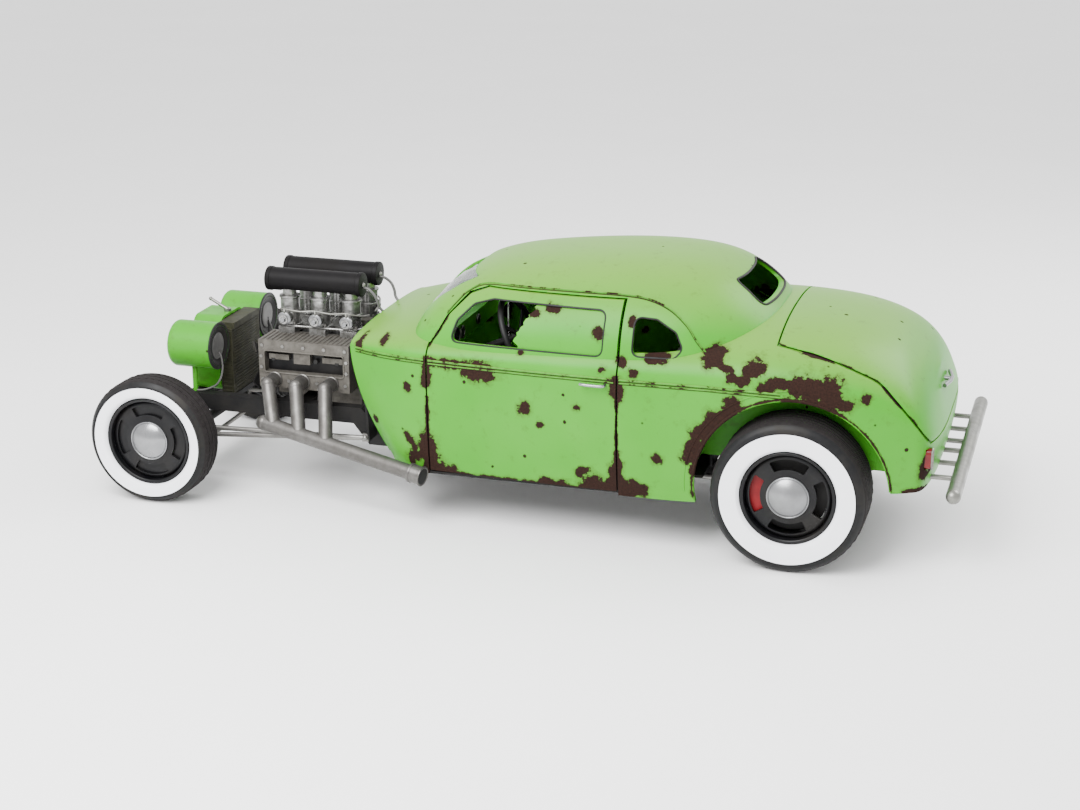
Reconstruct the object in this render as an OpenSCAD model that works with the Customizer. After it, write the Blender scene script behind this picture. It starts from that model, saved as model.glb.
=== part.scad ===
// Hot rod coupe: open V-engine, no front wings, chopped roof, parked on four wheels.
// Stations run rearward from the front axle; the left side lies at negative Y.

/* [Overall] */
// Distance between the axles, mm
wheelbase = 3100; // [2600:10:3400]
// Front tyre radius, mm
front_r = 309; // [260:1:360]
// Rear tyre radius, mm
rear_r = 350; // [300:1:400]
// Front tyre width, mm
front_w = 185; // [140:5:220]
// Rear tyre width, mm
rear_w = 270; // [180:5:300]
// Outer face of each wheel from the middle plane, mm
face_y = 737; // [650:1:800]

/* [Body] */
// Wall thickness of the body panels, mm
wall = 26; // [16:1:40]
// Gap round a door or lid, mm
seam = 8; // [6:0.5:14]
// Lower edge of the belt, mm
belt_z = 817; // [700:1:900]
// Foot of the roof dome, mm
dome_foot = 800; // [700:1:880]
// Front edge of the doors, station mm
door_front = 1400; // [1350:1:1500]
// Rear edge of the doors, station mm
door_rear = 2313; // [2200:1:2400]
// Lower edge of the doors, mm
door_low = 275; // [255:1:320]
// Front edge of the boot lid, station mm
lid_front = 3005; // [2960:1:3100]
// Lower edge of the boot lid, mm
lid_low = 612; // [550:1:700]
// Radius of the rear wheel arches, mm
arch_r = 436; // [390:1:470]

/* [Running gear] */
// King pin distance from the middle plane, mm
king_y = 600; // [560:1:620]
// Radius of the king pins, mm
king_r = 12; // [10:0.5:16]
// Radius of the wheel spindles, mm
spindle_r = 20; // [16:0.5:28]
// Radial running clearance, mm
fit = 0.3; // [0.1:0.05:0.8]
// Rim seat radius, mm
rim_r = 205; // [190:1:215]
// Middle of the frame rails, mm from the middle plane
rail_y = 330; // [280:1:350]
// Radius of the towing eyes in the front rail ends, mm
tow_r = 11; // [8:0.5:16]

/* [Hidden] */
$fn = 48;
bumper_s = wheelbase + 712;
bumper_r = 33;
mid_s = (bumper_s + bumper_r - front_r) / 2;
big = 4000;
pin_y = 640;
lamp_y = 540;
tie_s = 120;
tow_s = -52;
lid_pin_z = 1059;
header_s = [494, 640, 791];
carb_s = [505, 667, 829];
paint = [0.54, 0.79, 0.42];
dark = [0.1, 0.1, 0.1];
steel = [0.5, 0.5, 0.48];
// Rear end follows the rear axle
stretch = wheelbase - 3100;
// Lower edge of the boot lid in the side view: station behind its front edge, height above its lower edge
lid_line = [[0, 380], [97, 367], [176, 355], [302, 322], [446, 268], [527, 201], [606, 115], [653, 56], [686, 0]];

// Sections of the lower body: rocker station, height, half width; belt station, height, half width;
// top station, top height; share of the wall taken rearward
body_rows = [
  [1150, 300, 470,  985, belt_z, 525,  990,  880, 0],
  [1240, 255, 560, 1180, belt_z, 600, 1170,  930, 0],
  [1400, 255, 608, 1400, belt_z, 640, 1390,  965, 0],
  [1860, 255, 632, 1860, belt_z, 672, 1860, 1005, 0],
  [2313, 255, 640, 2313, belt_z, 684, 2320, 1035, 0],
  [2720, 265, 640, 2720, 820, 684, 2740, 1055, 0],
  [3100, 320, 640, 3080, 812, 672, 3050, 1060, 0],
  [3420, 372, 625, 3390, 780, 650, 3290, 1038, 0.1],
  [3600, 388, 600, 3590, 715, 612, 3470,  985, 0.5],
  [3670, 396, 545, 3685, 640, 545, 3590,  900, 0.9],
  [3700, 402, 300, 3728, 600, 300, 3650,  830, 1],
  [3705, 404,   0, 3735, 590,   0, 3665,  810, 1]
];
// Sections of the roof dome: station, centre height, half width at the foot
dome_rows = [
  [1270,  940, 520],
  [1330, 1045, 570],
  [1440, 1135, 606],
  [1620, 1200, 634],
  [1880, 1243, 648],
  [2200, 1272, 655],
  [2460, 1274, 652],
  [2640, 1250, 626],
  [2780, 1195, 565],
  [2890, 1115, 480],
  [2960, 1050, 400]
];
body_last = len(body_rows) - 1;
dome_last = len(dome_rows) - 1;

function spline(a, b, c, d, f) =
  0.5 * (2 * b + (c - a) * f + (2 * a - 5 * b + 4 * c - d) * f * f + (3 * b - a - 3 * c + d) * f * f * f);
function moved(k) = body_rows[k] + (k > 4 ? stretch : 0) * [1, 0, 0, 1, 0, 0, 1, 0, 0];
function flip(r) = [r[0], r[1], -r[2], r[3], r[4], -r[5], r[6], r[7], r[8]];
function body_row(k) =
  k < 0 ? 2 * body_rows[0] - body_rows[1] :
  k > body_last ? flip(moved(2 * body_last - k)) : moved(k);
function dome_row(k) =
  k < 0 ? 2 * dome_rows[0] - dome_rows[1] :
  k > dome_last ? 2 * dome_rows[dome_last] - dome_rows[dome_last - 1] : dome_rows[k];
function body_at(u) =
  let(i = min(floor(u), body_last - 1))
  spline(body_row(i - 1), body_row(i), body_row(i + 1), body_row(i + 2), u - i);
function dome_at(u) =
  let(i = min(floor(u), dome_last - 1))
  spline(dome_row(i - 1), dome_row(i), dome_row(i + 1), dome_row(i + 2), u - i);

// Point on the lower body: t from 0 at the rocker over 1 at the belt to 2 on the middle line
function body_pt(u, t, inset, side) =
  let(r = body_at(u), sh = inset * r[8], k = max(0, 1 - t), q = max(0, t - 1) * 90,
      wb = max(2, r[5] - inset), wr = max(2, r[2] - inset),
      a = pow(sin(q), 2 / 2.3), b = q > 89.99 ? 0 : pow(cos(q), 2 / 2.3))
  t < 1 ?
    [r[3] - sh + (r[0] - r[3]) * pow(k, 1.6), side * (wb - (wb - wr) * pow(k, 2.4)), r[4] + (r[1] - r[4]) * k] :
    [r[3] - sh + (r[6] - r[3]) * a, side * wb * b, r[4] + (r[7] - inset - r[4]) * a];
function dome_pt(u, t, inset, side) =
  let(r = dome_at(u), q = t * 90, a = pow(sin(q), 2 / 2.5), b = q > 89.99 ? 0 : pow(cos(q), 2 / 2.5))
  [r[0], side * (r[1] > 0 ? (r[2] - inset) * b : 0), dome_foot + (r[1] - inset - dome_foot) * a];

// Closed solid over rings of points that mirror left to right
module loft(rings) {
  n = len(rings);
  m = len(rings[0]);
  h = floor(m / 2);
  pts = [for (r = rings) each r];
  skin = [for (i = [0 : n - 2]) for (j = [0 : m - 1])
    let(a = i * m + j, b = i * m + (j + 1) % m, c = a + m, d = b + m) each [[a, b, d], [a, d, c]]];
  front = [for (j = [0 : h - 1]) let(p = j, q = m - 1 - j)
    each (q - p > 2 ? [[p, q - 1, p + 1], [p, q, q - 1]] : q - p == 2 ? [[p, q, p + 1]] : [])];
  o = (n - 1) * m;
  back = [for (f = front) [o + f[2], o + f[1], o + f[0]]];
  polyhedron(pts, concat(skin, front, back), convexity = 8);
}

// Rows of a section, denser where the belt turns over the top
body_ts = [0, 0.25, 0.5, 0.75, 0.9, 1.0, 1.1, 1.2, 1.32, 1.46, 1.6, 1.8];
dome_ts = [0, 0.1, 0.18, 0.27, 0.36, 0.46, 0.58, 0.72, 0.86];

function body_ring(u, inset, drop, ahead) =
  let(l = [for (t = body_ts) body_pt(u, t, inset, -1)], r = [for (k = [len(body_ts) - 1 : -1 : 0])
    body_pt(u, body_ts[k], inset, 1)], c = [body_pt(u, 2, inset, 1)],
    all = concat(l, c, r), last = len(all) - 1)
  [for (k = [0 : last]) all[k] - [ahead, 0, k == 0 || k == last ? drop : 0]];
function dome_ring(u, inset, drop) =
  let(l = [for (t = dome_ts) dome_pt(u, t, inset, -1)], r = [for (k = [len(dome_ts) - 1 : -1 : 0])
    dome_pt(u, dome_ts[k], inset, 1)], c = [dome_pt(u, 1, inset, 1)],
    all = concat(l, c, r), last = len(all) - 1)
  [for (k = [0 : last]) all[k] - [0, 0, k == 0 || k == last ? drop : 0]];

body_steps = 26;
dome_steps = 24;
// Lower body as a solid; an inset one is also drawn out at the open front and bottom
module body_solid(inset) {
  us = [for (i = [0 : body_steps]) i * (body_last - 0.015) / body_steps];
  open = inset > 0;
  loft(concat(open ? [body_ring(0, inset, 60, 80)] : [],
    [for (u = us) body_ring(u, inset, open ? 60 : 0, 0)]));
}
module dome_solid(inset) {
  us = [for (i = [0 : dome_steps]) i * dome_last / dome_steps];
  loft([for (u = us) dome_ring(u, inset, 0)]);
}
module cavity() {
  body_solid(wall);
  dome_solid(wall);
}

// Outlines in the side view, drawn in station and height and pushed through the body
module side_cut(y0 = -big, y1 = big) {
  translate([0, y1, 0])
    rotate([90, 0, 0])
      linear_extrude(height = y1 - y0)
        children();
}
module rounded(r) {
  offset(r = r)
    offset(delta = -r)
      children();
}
module door_outline(grow) {
  lead = grow > 0 ? 0 : 14 - seam;
  polygon([[door_front + seam / 2 - grow, door_low - grow], [door_rear - seam / 2 + grow, door_low - grow],
    [door_rear - seam / 2 + grow, 900], [door_rear - seam / 2 - lead + grow, 905],
    [door_rear - seam / 2 - lead + grow, 1140 + grow], [1640, 1128 + grow], [1560 - grow, 1098 + grow],
    [1478 - grow, 1010], [1440 - grow, 930], [door_front + seam / 2 - grow, 880]]);
}
module door_window() {
  rounded(40)
    polygon([[1504, 905], [2235, 905], [2235, 1098], [1690, 1096], [1600, 1070], [1530, 1000]]);
}
module quarter_window() {
  rounded(38)
    polygon([[2369, 919], [2560, 919], [2597, 960], [2560, 1030], [2470, 1078], [2369, 1084]]);
}
module front_windows() {
  for (s = [-1, 1])
    translate([1200, 0, 0])
      rotate([90, 0, 90])
        linear_extrude(height = 500)
          rounded(25)
            polygon([[s * 14, 985], [s * 385, 985], [s * 380, 1085], [s * 330, 1150], [s * 14, 1160]]);
}
module rear_window() {
  translate([2700, 0, 0])
    rotate([90, 0, 90])
      linear_extrude(height = 400)
        rounded(45)
          polygon([[-270, 1090], [270, 1090], [235, 1195], [-235, 1195]]);
}
module arches(grow) {
  for (s = [-1, 1])
    translate([wheelbase, s * 760, rear_r])
      rotate([90, 0, 0])
        cylinder(h = 620, r = arch_r + grow, center = true, $fn = 96);
}
module lid_zone(grow) {
  side_cut()
    offset(delta = grow)
      translate([lid_front + stretch, lid_low])
        polygon(concat([[1200, 900], [0, 900]], lid_line, [[1200, 0]]));
}

module place() {
  translate([-mid_s, 0, 0])
    children();
}
module rod(a, b, r) {
  d = b - a;
  n = norm(d);
  translate(a)
    rotate([0, acos(d[2] / n), atan2(d[1], d[0])])
      cylinder(h = n, r = r);
}
module across(s, z, r, y0, y1) {
  translate([s, y0, z])
    rotate([-90, 0, 0])
      cylinder(h = y1 - y0, r = r);
}
module along(s0, s1, y, z, r) {
  translate([s0, y, z])
    rotate([0, 90, 0])
      cylinder(h = s1 - s0, r = r);
}
module block(s0, s1, y0, y1, z0, z1) {
  translate([s0, y0, z0])
    cube([s1 - s0, y1 - y0, z1 - z0]);
}
module both_sides() {
  children();
  mirror([0, 1, 0])
    children();
}

// Ladder frame, kicked up over the rear axle
module frame() {
  color(dark) place()
    difference() {
      union() {
        both_sides()
          side_cut(rail_y - 28, rail_y + 28)
            polygon([[-80, 375], [-80, 455], [960, 455], [1060, 355], [wheelbase - 380, 355], [wheelbase - 270, 550], [wheelbase + 500, 550],
              [wheelbase + 500, 470], [wheelbase - 220, 470], [wheelbase - 330, 275], [1000, 275], [920, 375]]);
        for (c = [[-40, 40, 375, 400], [140, 210, 375, 400], [1240, 1320, 275, 325], [2400, 2460, 275, 325],
            [wheelbase + 340, wheelbase + 420, 470, 550]])
          block(c[0], c[1], -rail_y, rail_y, c[2], c[3]);
        both_sides()
          block(610, 680, 120, rail_y, 430, 455);
      }
      both_sides()
        translate([tow_s, rail_y, 0])
          cylinder(h = big, r = tow_r);
    }
}
// Dropped tube axle with king pin bosses
module front_axle() {
  color(dark) place()
    difference() {
      union() {
        across(0, 225, 26, -420, 420);
        both_sides() {
          translate([0, 420, 225])
            sphere(r = 27.5);
          rod([0, 420, 225], [0, king_y - 14, front_r - 8], 26);
          translate([0, king_y, front_r - 42])
            cylinder(h = 84, r = 28);
        }
      }
      both_sides()
        translate([0, king_y, 0])
          cylinder(h = big, r = king_r + fit);
    }
}
module front_spring() {
  color(dark) place() {
    translate([-25, 0, 0])
      rotate([90, 0, 90])
        linear_extrude(height = 50)
          intersection() {
            translate([0, 375 - 1900])
              difference() {
                circle(r = 1900, $fn = 200);
                circle(r = 1868, $fn = 200);
              }
            translate([-430, 270])
              square([860, 200]);
          }
    both_sides()
      block(-20, 20, 400, 414, 252, 322);
  }
}
module radius_rods() {
  color(steel) place()
    both_sides() {
      difference() {
        block(-40, 40, 365, 383, 185, 300);
        across(0, 225, 26.2, 300, 400);
      }
      rod([34, 374, 285], [985, 374, 312], 12);
      rod([34, 374, 243], [985, 374, 312], 12);
      translate([985, 374, 312])
        sphere(r = 15);
      block(970, 1000, rail_y + 28, 374, 292, 332);
    }
}
module rear_axle() {
  color(dark) place() {
    across(wheelbase, rear_r, 38, -590, 590);
    across(wheelbase, rear_r, spindle_r, -706, 706);
    translate([wheelbase, 0, rear_r])
      sphere(r = 125);
    along(wheelbase - 190, wheelbase, 0, rear_r, 62);
    both_sides() {
      block(wheelbase - 184, wheelbase, 585, 600, rear_r - 34, rear_r + 34);
      block(wheelbase - 45, wheelbase + 45, rail_y - 45, rail_y + 45, rear_r, rear_r + 45);
    }
  }
}
module rear_springs() {
  color(steel) place()
    both_sides() {
      translate([wheelbase, rail_y, rear_r + 45])
        cylinder(h = 470 - rear_r - 45, r = 42);
      rod([wheelbase - 50, rail_y + 90, rear_r - 60], [2330, rail_y + 46, 310], 15);
      difference() {
        block(wheelbase - 75, wheelbase + 10, rail_y + 75, rail_y + 105, rear_r - 85, rear_r);
        across(wheelbase, rear_r, 38.1, 0, 600);
      }
      block(2300, 2345, rail_y + 28, rail_y + 60, 290, 330);
    }
}
module calipers() {
  color([0.69, 0.2, 0.23]) place()
    both_sides()
      translate([wheelbase, 600, rear_r])
        rotate([-90, 148, 0])
          difference() {
            rotate_extrude(angle = 64)
              translate([125, 0])
                square([60, 66]);
            translate([0, 0, 18])
              cylinder(h = 26, r = 178);
          }
}
// Bare V-engine with slanted banks
module engine() {
  color([0.42, 0.4, 0.36]) place() {
    block(430, 900, -120, 120, 420, 640);
    block(470, 860, -90, 90, 300, 420);
    translate([858, 0, 630])
      cylinder(h = 170, r = 36);
    both_sides() {
      difference() {
        block(412, 884, 118, 306, 505, 742);
        block(440, 856, 258, 310, 580, 690);
      }
      block(590, 676, 255, 292, 628, 695);
      block(456, 560, 255, 282, 640, 668);
      block(736, 840, 255, 282, 640, 668);
    }
  }
}
module gearbox() {
  color(dark) place() {
    along(900, 990, 0, 480, 165);
    block(990, 1500, -88, 88, 325, 520);
    rod([1500, 0, 420], [wheelbase - 205, 0, rear_r], 36);
    along(wheelbase - 215, wheelbase - 190, 0, rear_r, 45);
  }
}
module intake() {
  color(steel) place() {
    block(450, 820, -78, 78, 640, 770);
    both_sides() {
      for (s = carb_s) {
        block(s - 42, s + 42, 60, 170, 742, 776);
        translate([s, 115, 770])
          cylinder(h = 152, r = 46);
        translate([s, 115, 920])
          cylinder(h = 40, r = 34);
        across(s, 822, 31, 120, 196);
        across(s, 822, 22, 190, 208);
      }
      along(carb_s[0] - 25, carb_s[2] + 25, 160, 780, 7);
    }
  }
}
module air_filters() {
  color(dark) place()
    both_sides()
      difference() {
        along(396, 893, 115, 1003, 57);
        block(carb_s[0] - 40, carb_s[2] + 40, 70, 160, 940, 960);
      }
}
// Three header pipes a side into an outswept collector
module exhaust() {
  color([0.6, 0.58, 0.55]) place()
    both_sides() {
      for (s = header_s)
        let(e = [s + 60, 482 + (s - 494) * 0.21, 378 - (s - 494) * 0.13]) {
          rod([s, 306, 548], [s, 392, 548], 34);
          translate([s, 392, 548])
            sphere(r = 35.5);
          rod([s, 392, 548], e, 34);
        }
      rod([500, 474, 376], [1340, 658, 264], 36);
      translate([500, 474, 376])
        sphere(r = 38);
      rod([1330, 656, 265.3], [1384, 668, 258], 44);
    }
}
module fan() {
  color(dark) place() {
    along(330, 430, 0, 560, 26);
    along(385, 420, 0, 560, 95);
    along(385, 420, 0, 440, 75);
    for (a = [0 : 60 : 359])
      translate([340, 0, 560])
        rotate([a, 0, 0])
          translate([0, -28, 10])
            rotate([0, 0, 25])
              cube([8, 56, 190]);
  }
}
module radiator() {
  color([0.3, 0.3, 0.2]) place() {
    block(140, 205, -165, 165, 400, 735);
    block(132, 213, -150, 150, 735, 765);
  }
}
module grille_shell() {
  color(paint) place()
    difference() {
      translate([-18, 0, 0])
        rotate([90, 0, 90])
          linear_extrude(height = 148)
            grille_outline(0);
      translate([6, 0, 0])
        rotate([90, 0, 90])
          linear_extrude(height = 200)
            grille_outline(-12);
      for (y = [-126 : 28 : 126])
        block(-40, 20, y - 8, y + 8, 440, 700);
    }
}
module grille_outline(grow) {
  offset(delta = grow)
    rounded(60)
      polygon([[-150, 400], [150, 400], [172, 620], [120, 780], [-120, 780], [-172, 620]]);
}
module ornament() {
  color(steel) place() {
    translate([110, 0, 780])
      cylinder(h = 14, r = 18);
    rod([110, 0, 790], [20, 0, 838], 8);
    translate([20, 0, 838])
      sphere(r = 10);
  }
}
// Headlamp cans on stalks from the frame
module headlamps() {
  color(paint) place()
    both_sides() {
      difference() {
        union() {
          along(-10, 200, 297, 688, 115);
          translate([-10, 297, 688])
            rotate([0, 90, 0])
              rotate_extrude()
                translate([88, 0])
                  circle(r = 27);
        }
        along(-60, 14, 297, 688, 90);
        along(184, 220, 297, 688, 100);
      }
      translate([70, 320, 455])
        cylinder(h = 140, r = 13);
    }
}
module headlamp_lenses() {
  color([0.9, 0.92, 0.95]) place()
    both_sides()
      along(2, 14, 297, 688, 89.6);
}
module firewall() {
  color(dark) place()
    resize([0, 0, 0])
      difference() {
        intersection() {
          body_solid(wall + 0.5);
          block(1030, 1042, -big, big, 330, 850);
        }
        block(1000, 1060, -100, 100, 0, 540);
        both_sides()
          block(1000, 1060, rail_y - 30, rail_y + 30, 0, 400);
      }
}
module cowl() {
  color(paint) place()
    resize([0, 0, 0])
      difference() {
        intersection() {
          body_solid(0);
          block(900, door_front - seam / 2, -big, big, 0, big);
        }
        cavity();
        side_cut()
          door_outline(seam);
        hinge_pins(0.4);
      }
}
module hinge_pins(grow) {
  both_sides()
    for (z = [590, 740])
      translate([door_front, pin_y, z])
        cylinder(h = 50 + grow, r = 6 + grow, $fn = 24);
}
module floor() {
  color(dark) place() {
    both_sides()
      translate([0, 0, 355])
        linear_extrude(height = 12)
          polygon([[1180, 150], [1180, 512], [1270, 560], [1320, 575], [2690, 575], [2690, 150]]);
    for (t = [[1180, 1500, 545], [1500, 1900, 480], [1900, 2690, 450]]) {
      both_sides() {
        block(t[0], t[1], 138, 150, 355, t[2]);
      }
      block(t[0], t[1], -150, 150, t[2] - 12, t[2]);
    }
    both_sides() {
      block(door_front, door_rear, 560, 575, 255, 367);
      block(door_front - 3, door_rear + 3, 560, 605, 255, 267);
    }
    both_sides()
      block(2690, 2702, 138, 420, 355, 880);
    block(2690, 2702, -138, 138, 438, 880);
    block(2702, wheelbase + 490, -420, 420, 550, 562);
  }
}
module wheel_wells() {
  color(paint) place()
    resize([0, 0, 0])
      intersection() {
        both_sides()
          difference() {
            across(wheelbase, rear_r, arch_r + 26, 422, 700);
            across(wheelbase, rear_r, arch_r + 14, 432, 800);
            lamp_seats();
            block(2000, big, 0, big, -big, 420);
          }
        body_solid(wall + 0.6);
      }
}
module roof() {
  color(paint) place()
    resize([0, 0, 0])
      difference() {
        dome_solid(0);
        body_solid(-0.6);
        cavity();
        side_cut() {
          door_outline(seam);
          quarter_window();
        }
        front_windows();
        rear_window();
      }
}
module rear_body() {
  color(paint) place()
    resize([0, 0, 0])
      difference() {
        intersection() {
          body_solid(0);
          block(door_rear + seam / 2, big, -big, big, 0, big);
        }
        cavity();
        lid_zone(seam);
        arches(0);
        lid_pins(0.4);
        struts(13);
        lamp_seats();
      }
}
module lid_pins(grow) {
  for (y = [-120, 120])
    across(lid_front + stretch - seam / 2, lid_pin_z, 5.5 + grow, y - 40 - grow, y + 40 + grow);
}
module windscreen() {
  color([0.6, 0.7, 0.72, 0.4]) place()
    resize([0, 0, 0])
      intersection() {
        difference() {
          dome_solid(9);
          dome_solid(15);
        }
        front_windows();
      }
}
module dash() {
  color(paint) place() {
    block(1385, 1440, -520, 520, 800, 890);
    both_sides()
      block(1340, 1385, 480, 520, 800, 890);
  }
}
module column() {
  color(dark) place() {
    block(1042, 1053, -352, -308, 538, 590);
    rod([1051, -330, 563.6], [1730, -330, 869], 18);
    rod([1700, -330, 855.5], [1755.5, -330, 880.5], 12);
    block(1400, 1430, -345, -315, 735, 800);
  }
}
module steering_wheel() {
  color(dark) place()
    translate([1731, -330, 869.5])
      rotate([0, 65.8, 0]) {
        difference() {
          cylinder(h = 45, r = 26);
          translate([0, 0, -1])
            cylinder(h = 31, r = 12 + fit);
        }
        translate([0, 0, 30])
          rotate_extrude()
            translate([185, 0])
              circle(r = 14);
        for (a = [0, 120, 240])
          rotate([0, 0, a])
            translate([15, -10, 26])
              cube([165, 20, 8]);
      }
}
module seat() {
  color([0.25, 0.25, 0.26]) place() {
    block(1980, 2440, -500, 500, 452, 500);
    side_cut(-500, 500)
      rounded(40)
        polygon([[1950, 495], [2480, 480], [2480, 590], [1950, 600]]);
    side_cut(-500, 500)
      rounded(45)
        polygon([[2420, 560], [2540, 560], [2660, 930], [2550, 950]]);
    both_sides()
      block(2000, 2420, 380, 440, 367, 452);
  }
}
module struts(r) {
  for (y = [-450, -250, -70, 70, 250, 450])
    along(wheelbase + 475, bumper_s, y, 424, r);
}
module bumper() {
  color(steel) place() {
    across(bumper_s, 424, bumper_r, -681, 681);
    both_sides()
      translate([bumper_s, 681, 424])
        sphere(r = bumper_r);
    struts(12);
    block(wheelbase + 460, wheelbase + 490, -470, 470, 405, 443);
    both_sides()
      block(wheelbase + 460, wheelbase + 490, rail_y - 25, rail_y + 25, 440, 470);
  }
}
module lamp_seats() {
  both_sides()
    block(wheelbase + 500, wheelbase + 660, lamp_y - 24.5, lamp_y + 24.5, 490.5, 584.5);
}
module tail_lamps() {
  color([0.69, 0.19, 0.19]) place()
    both_sides() {
      along(wheelbase + 520, wheelbase + 602, lamp_y, 515, 24);
      along(wheelbase + 520, wheelbase + 602, lamp_y, 560, 24);
      block(wheelbase + 520, wheelbase + 602, lamp_y - 24, lamp_y + 24, 515, 560);
    }
}
module fuel_tank() {
  color(dark) place()
    block(wheelbase + 150, wheelbase + 330, -290, 290, 400, 550);
}
module door() {
  resize([0, 0, 0]) {
    difference() {
      intersection() {
        union() {
          body_solid(0);
          dome_solid(0);
        }
        side_cut(-big, 0)
          door_outline(0);
      }
      cavity();
      side_cut()
        door_window();
    }
    intersection() {
      hinge_pins(0);
      block(0, big, -big, 0, 0, big);
    }
  }
}
module door_left() {
  color(paint) place()
    door();
}
module door_right() {
  color(paint) place()
    mirror([0, 1, 0])
      door();
}
module pane() {
  resize([0, 0, 0])
    difference() {
      intersection() {
        dome_solid(8);
        side_cut(-big, 0)
          door_window();
      }
      dome_solid(13);
      block(0, 1800, -big, 0, 0, big);
    }
}
module pane_left() {
  color(paint) place()
    pane();
}
module pane_right() {
  color(paint) place()
    mirror([0, 1, 0])
      pane();
}
module boot_lid() {
  color(paint) place()
    resize([0, 0, 0]) {
      difference() {
        intersection() {
          body_solid(0);
          lid_zone(0);
        }
        body_solid(wall);
      }
      lid_pins(0);
    }
}
module knuckle() {
  translate([0, king_y, 0]) {
    translate([0, 0, front_r - 84])
      cylinder(h = 168, r = king_r);
    translate([0, 0, front_r + 50])
      cylinder(h = 20, r = 26);
    translate([0, 0, front_r - 84])
      cylinder(h = 34, r = 26);
    block(-22, 22, 0, 52, front_r + 50, front_r + 70);
    block(-22, 22, 0, 52, front_r - 84, front_r - 50);
    block(-22, 22, 36, 52, front_r - 84, front_r + 70);
    across(0, front_r, spindle_r, 50, 104);
  }
  block(0, tie_s, king_y - 9, king_y + 9, front_r - 83, front_r - 67);
  translate([tie_s, king_y, front_r - 85])
    cylinder(h = 20, r = 20);
  translate([tie_s, king_y, front_r - 112])
    cylinder(h = 30, r = 8);
}
module knuckle_left() {
  color(dark) place()
    mirror([0, 1, 0])
      knuckle();
}
module knuckle_right() {
  color(dark) place()
    knuckle();
}
module tie_rod() {
  color(steel) place()
    difference() {
      union() {
        across(tie_s, front_r - 99, 11, -king_y, king_y);
        both_sides()
          translate([tie_s, king_y, front_r - 111])
            cylinder(h = 24, r = 18);
      }
      both_sides()
        translate([tie_s, king_y, 0])
          cylinder(h = big, r = 8 + fit);
    }
}
// Steel wheel with four kidney slots and a domed cap, axis along Y and face outward
module wheel(w, r, s, hub_in, disc) {
  half = w / 2;
  cap_r = 96;
  cap_h = 35;
  ball = (cap_r * cap_r + cap_h * cap_h) / (2 * cap_h);
  translate([s, face_y - half, r])
    rotate([-90, 0, 0])
      difference() {
        union() {
          rotate_extrude($fn = 72)
            polygon([[rim_r - 9, 22 - half], [rim_r + 9, 22 - half], [rim_r + 9, 29 - half], [rim_r, 29 - half],
              [rim_r, half - 29], [rim_r + 9, half - 29], [rim_r + 9, half - 22], [rim_r - 9, half - 22]]);
          difference() {
            translate([0, 0, half - 55])
              cylinder(h = 12, r = rim_r - 7);
            for (a = [0 : 90 : 270])
              rotate([0, 0, a - 31])
                translate([0, 0, half - 60])
                  rotate_extrude(angle = 62)
                    translate([rim_r - 83, 0])
                      square([56, 30]);
          }
          translate([0, 0, half - 44])
            cylinder(h = 10, r = cap_r);
          intersection() {
            translate([0, 0, half - ball])
              sphere(r = ball, $fn = 72);
            translate([0, 0, half - cap_h])
              cylinder(h = 100, r = cap_r);
          }
          translate([0, 0, hub_in])
            cylinder(h = half - 44 - hub_in, r = 62);
          if (disc)
            translate([0, 0, 625 - face_y + half])
              cylinder(h = 12, r = 172);
        }
        translate([0, 0, -big])
          cylinder(h = big + half - 22, r = spindle_r + fit);
      }
}
module tyre(w, r, s) {
  half = w / 2;
  translate([s, face_y - half, r])
    rotate([-90, 0, 0])
      rotate_extrude($fn = 72)
        polygon([[rim_r + fit, 30 - half], [rim_r + 9.5, 30 - half], [rim_r + 30, 8 - half],
          [(rim_r + r) / 2 + 25.5, -half], [r - 28, 6 - half], [r - 8, 22 - half], [r, 44 - half],
          [r, half - 44], [r - 8, half - 22], [r - 28, half - 6], [(rim_r + r) / 2 + 25.5, half],
          [rim_r + 30, half - 8], [rim_r + 9.5, half - 30], [rim_r + fit, half - 30]]);
}
module front_wheel_left() {
  color(dark) place()
    mirror([0, 1, 0])
      wheel(front_w, front_r, 0, 15, false);
}
module front_wheel_right() {
  color(dark) place()
    wheel(front_w, front_r, 0, 15, false);
}
module rear_wheel_left() {
  color(dark) place()
    mirror([0, 1, 0])
      wheel(rear_w, rear_r, wheelbase, 10, true);
}
module rear_wheel_right() {
  color(dark) place()
    wheel(rear_w, rear_r, wheelbase, 10, true);
}
module front_tyre_left() {
  color(dark) place()
    mirror([0, 1, 0])
      tyre(front_w, front_r, 0);
}
module front_tyre_right() {
  color(dark) place()
    tyre(front_w, front_r, 0);
}
module rear_tyre_left() {
  color(dark) place()
    mirror([0, 1, 0])
      tyre(rear_w, rear_r, wheelbase);
}
module rear_tyre_right() {
  color(dark) place()
    tyre(rear_w, rear_r, wheelbase);
}

frame();
front_axle();
front_spring();
radius_rods();
rear_axle();
rear_springs();
calipers();
wheel_wells();
engine();
gearbox();
intake();
air_filters();
exhaust();
fan();
radiator();
grille_shell();
ornament();
headlamps();
headlamp_lenses();
firewall();
cowl();
floor();
roof();
rear_body();
windscreen();
dash();
column();
seat();
bumper();
tail_lamps();
fuel_tank();
door_left();
door_right();
pane_left();
pane_right();
boot_lid();
steering_wheel();
knuckle_left();
knuckle_right();
tie_rod();
front_wheel_left();
front_wheel_right();
rear_wheel_left();
rear_wheel_right();
front_tyre_left();
front_tyre_right();
rear_tyre_left();
rear_tyre_right();
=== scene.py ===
import math

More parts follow.
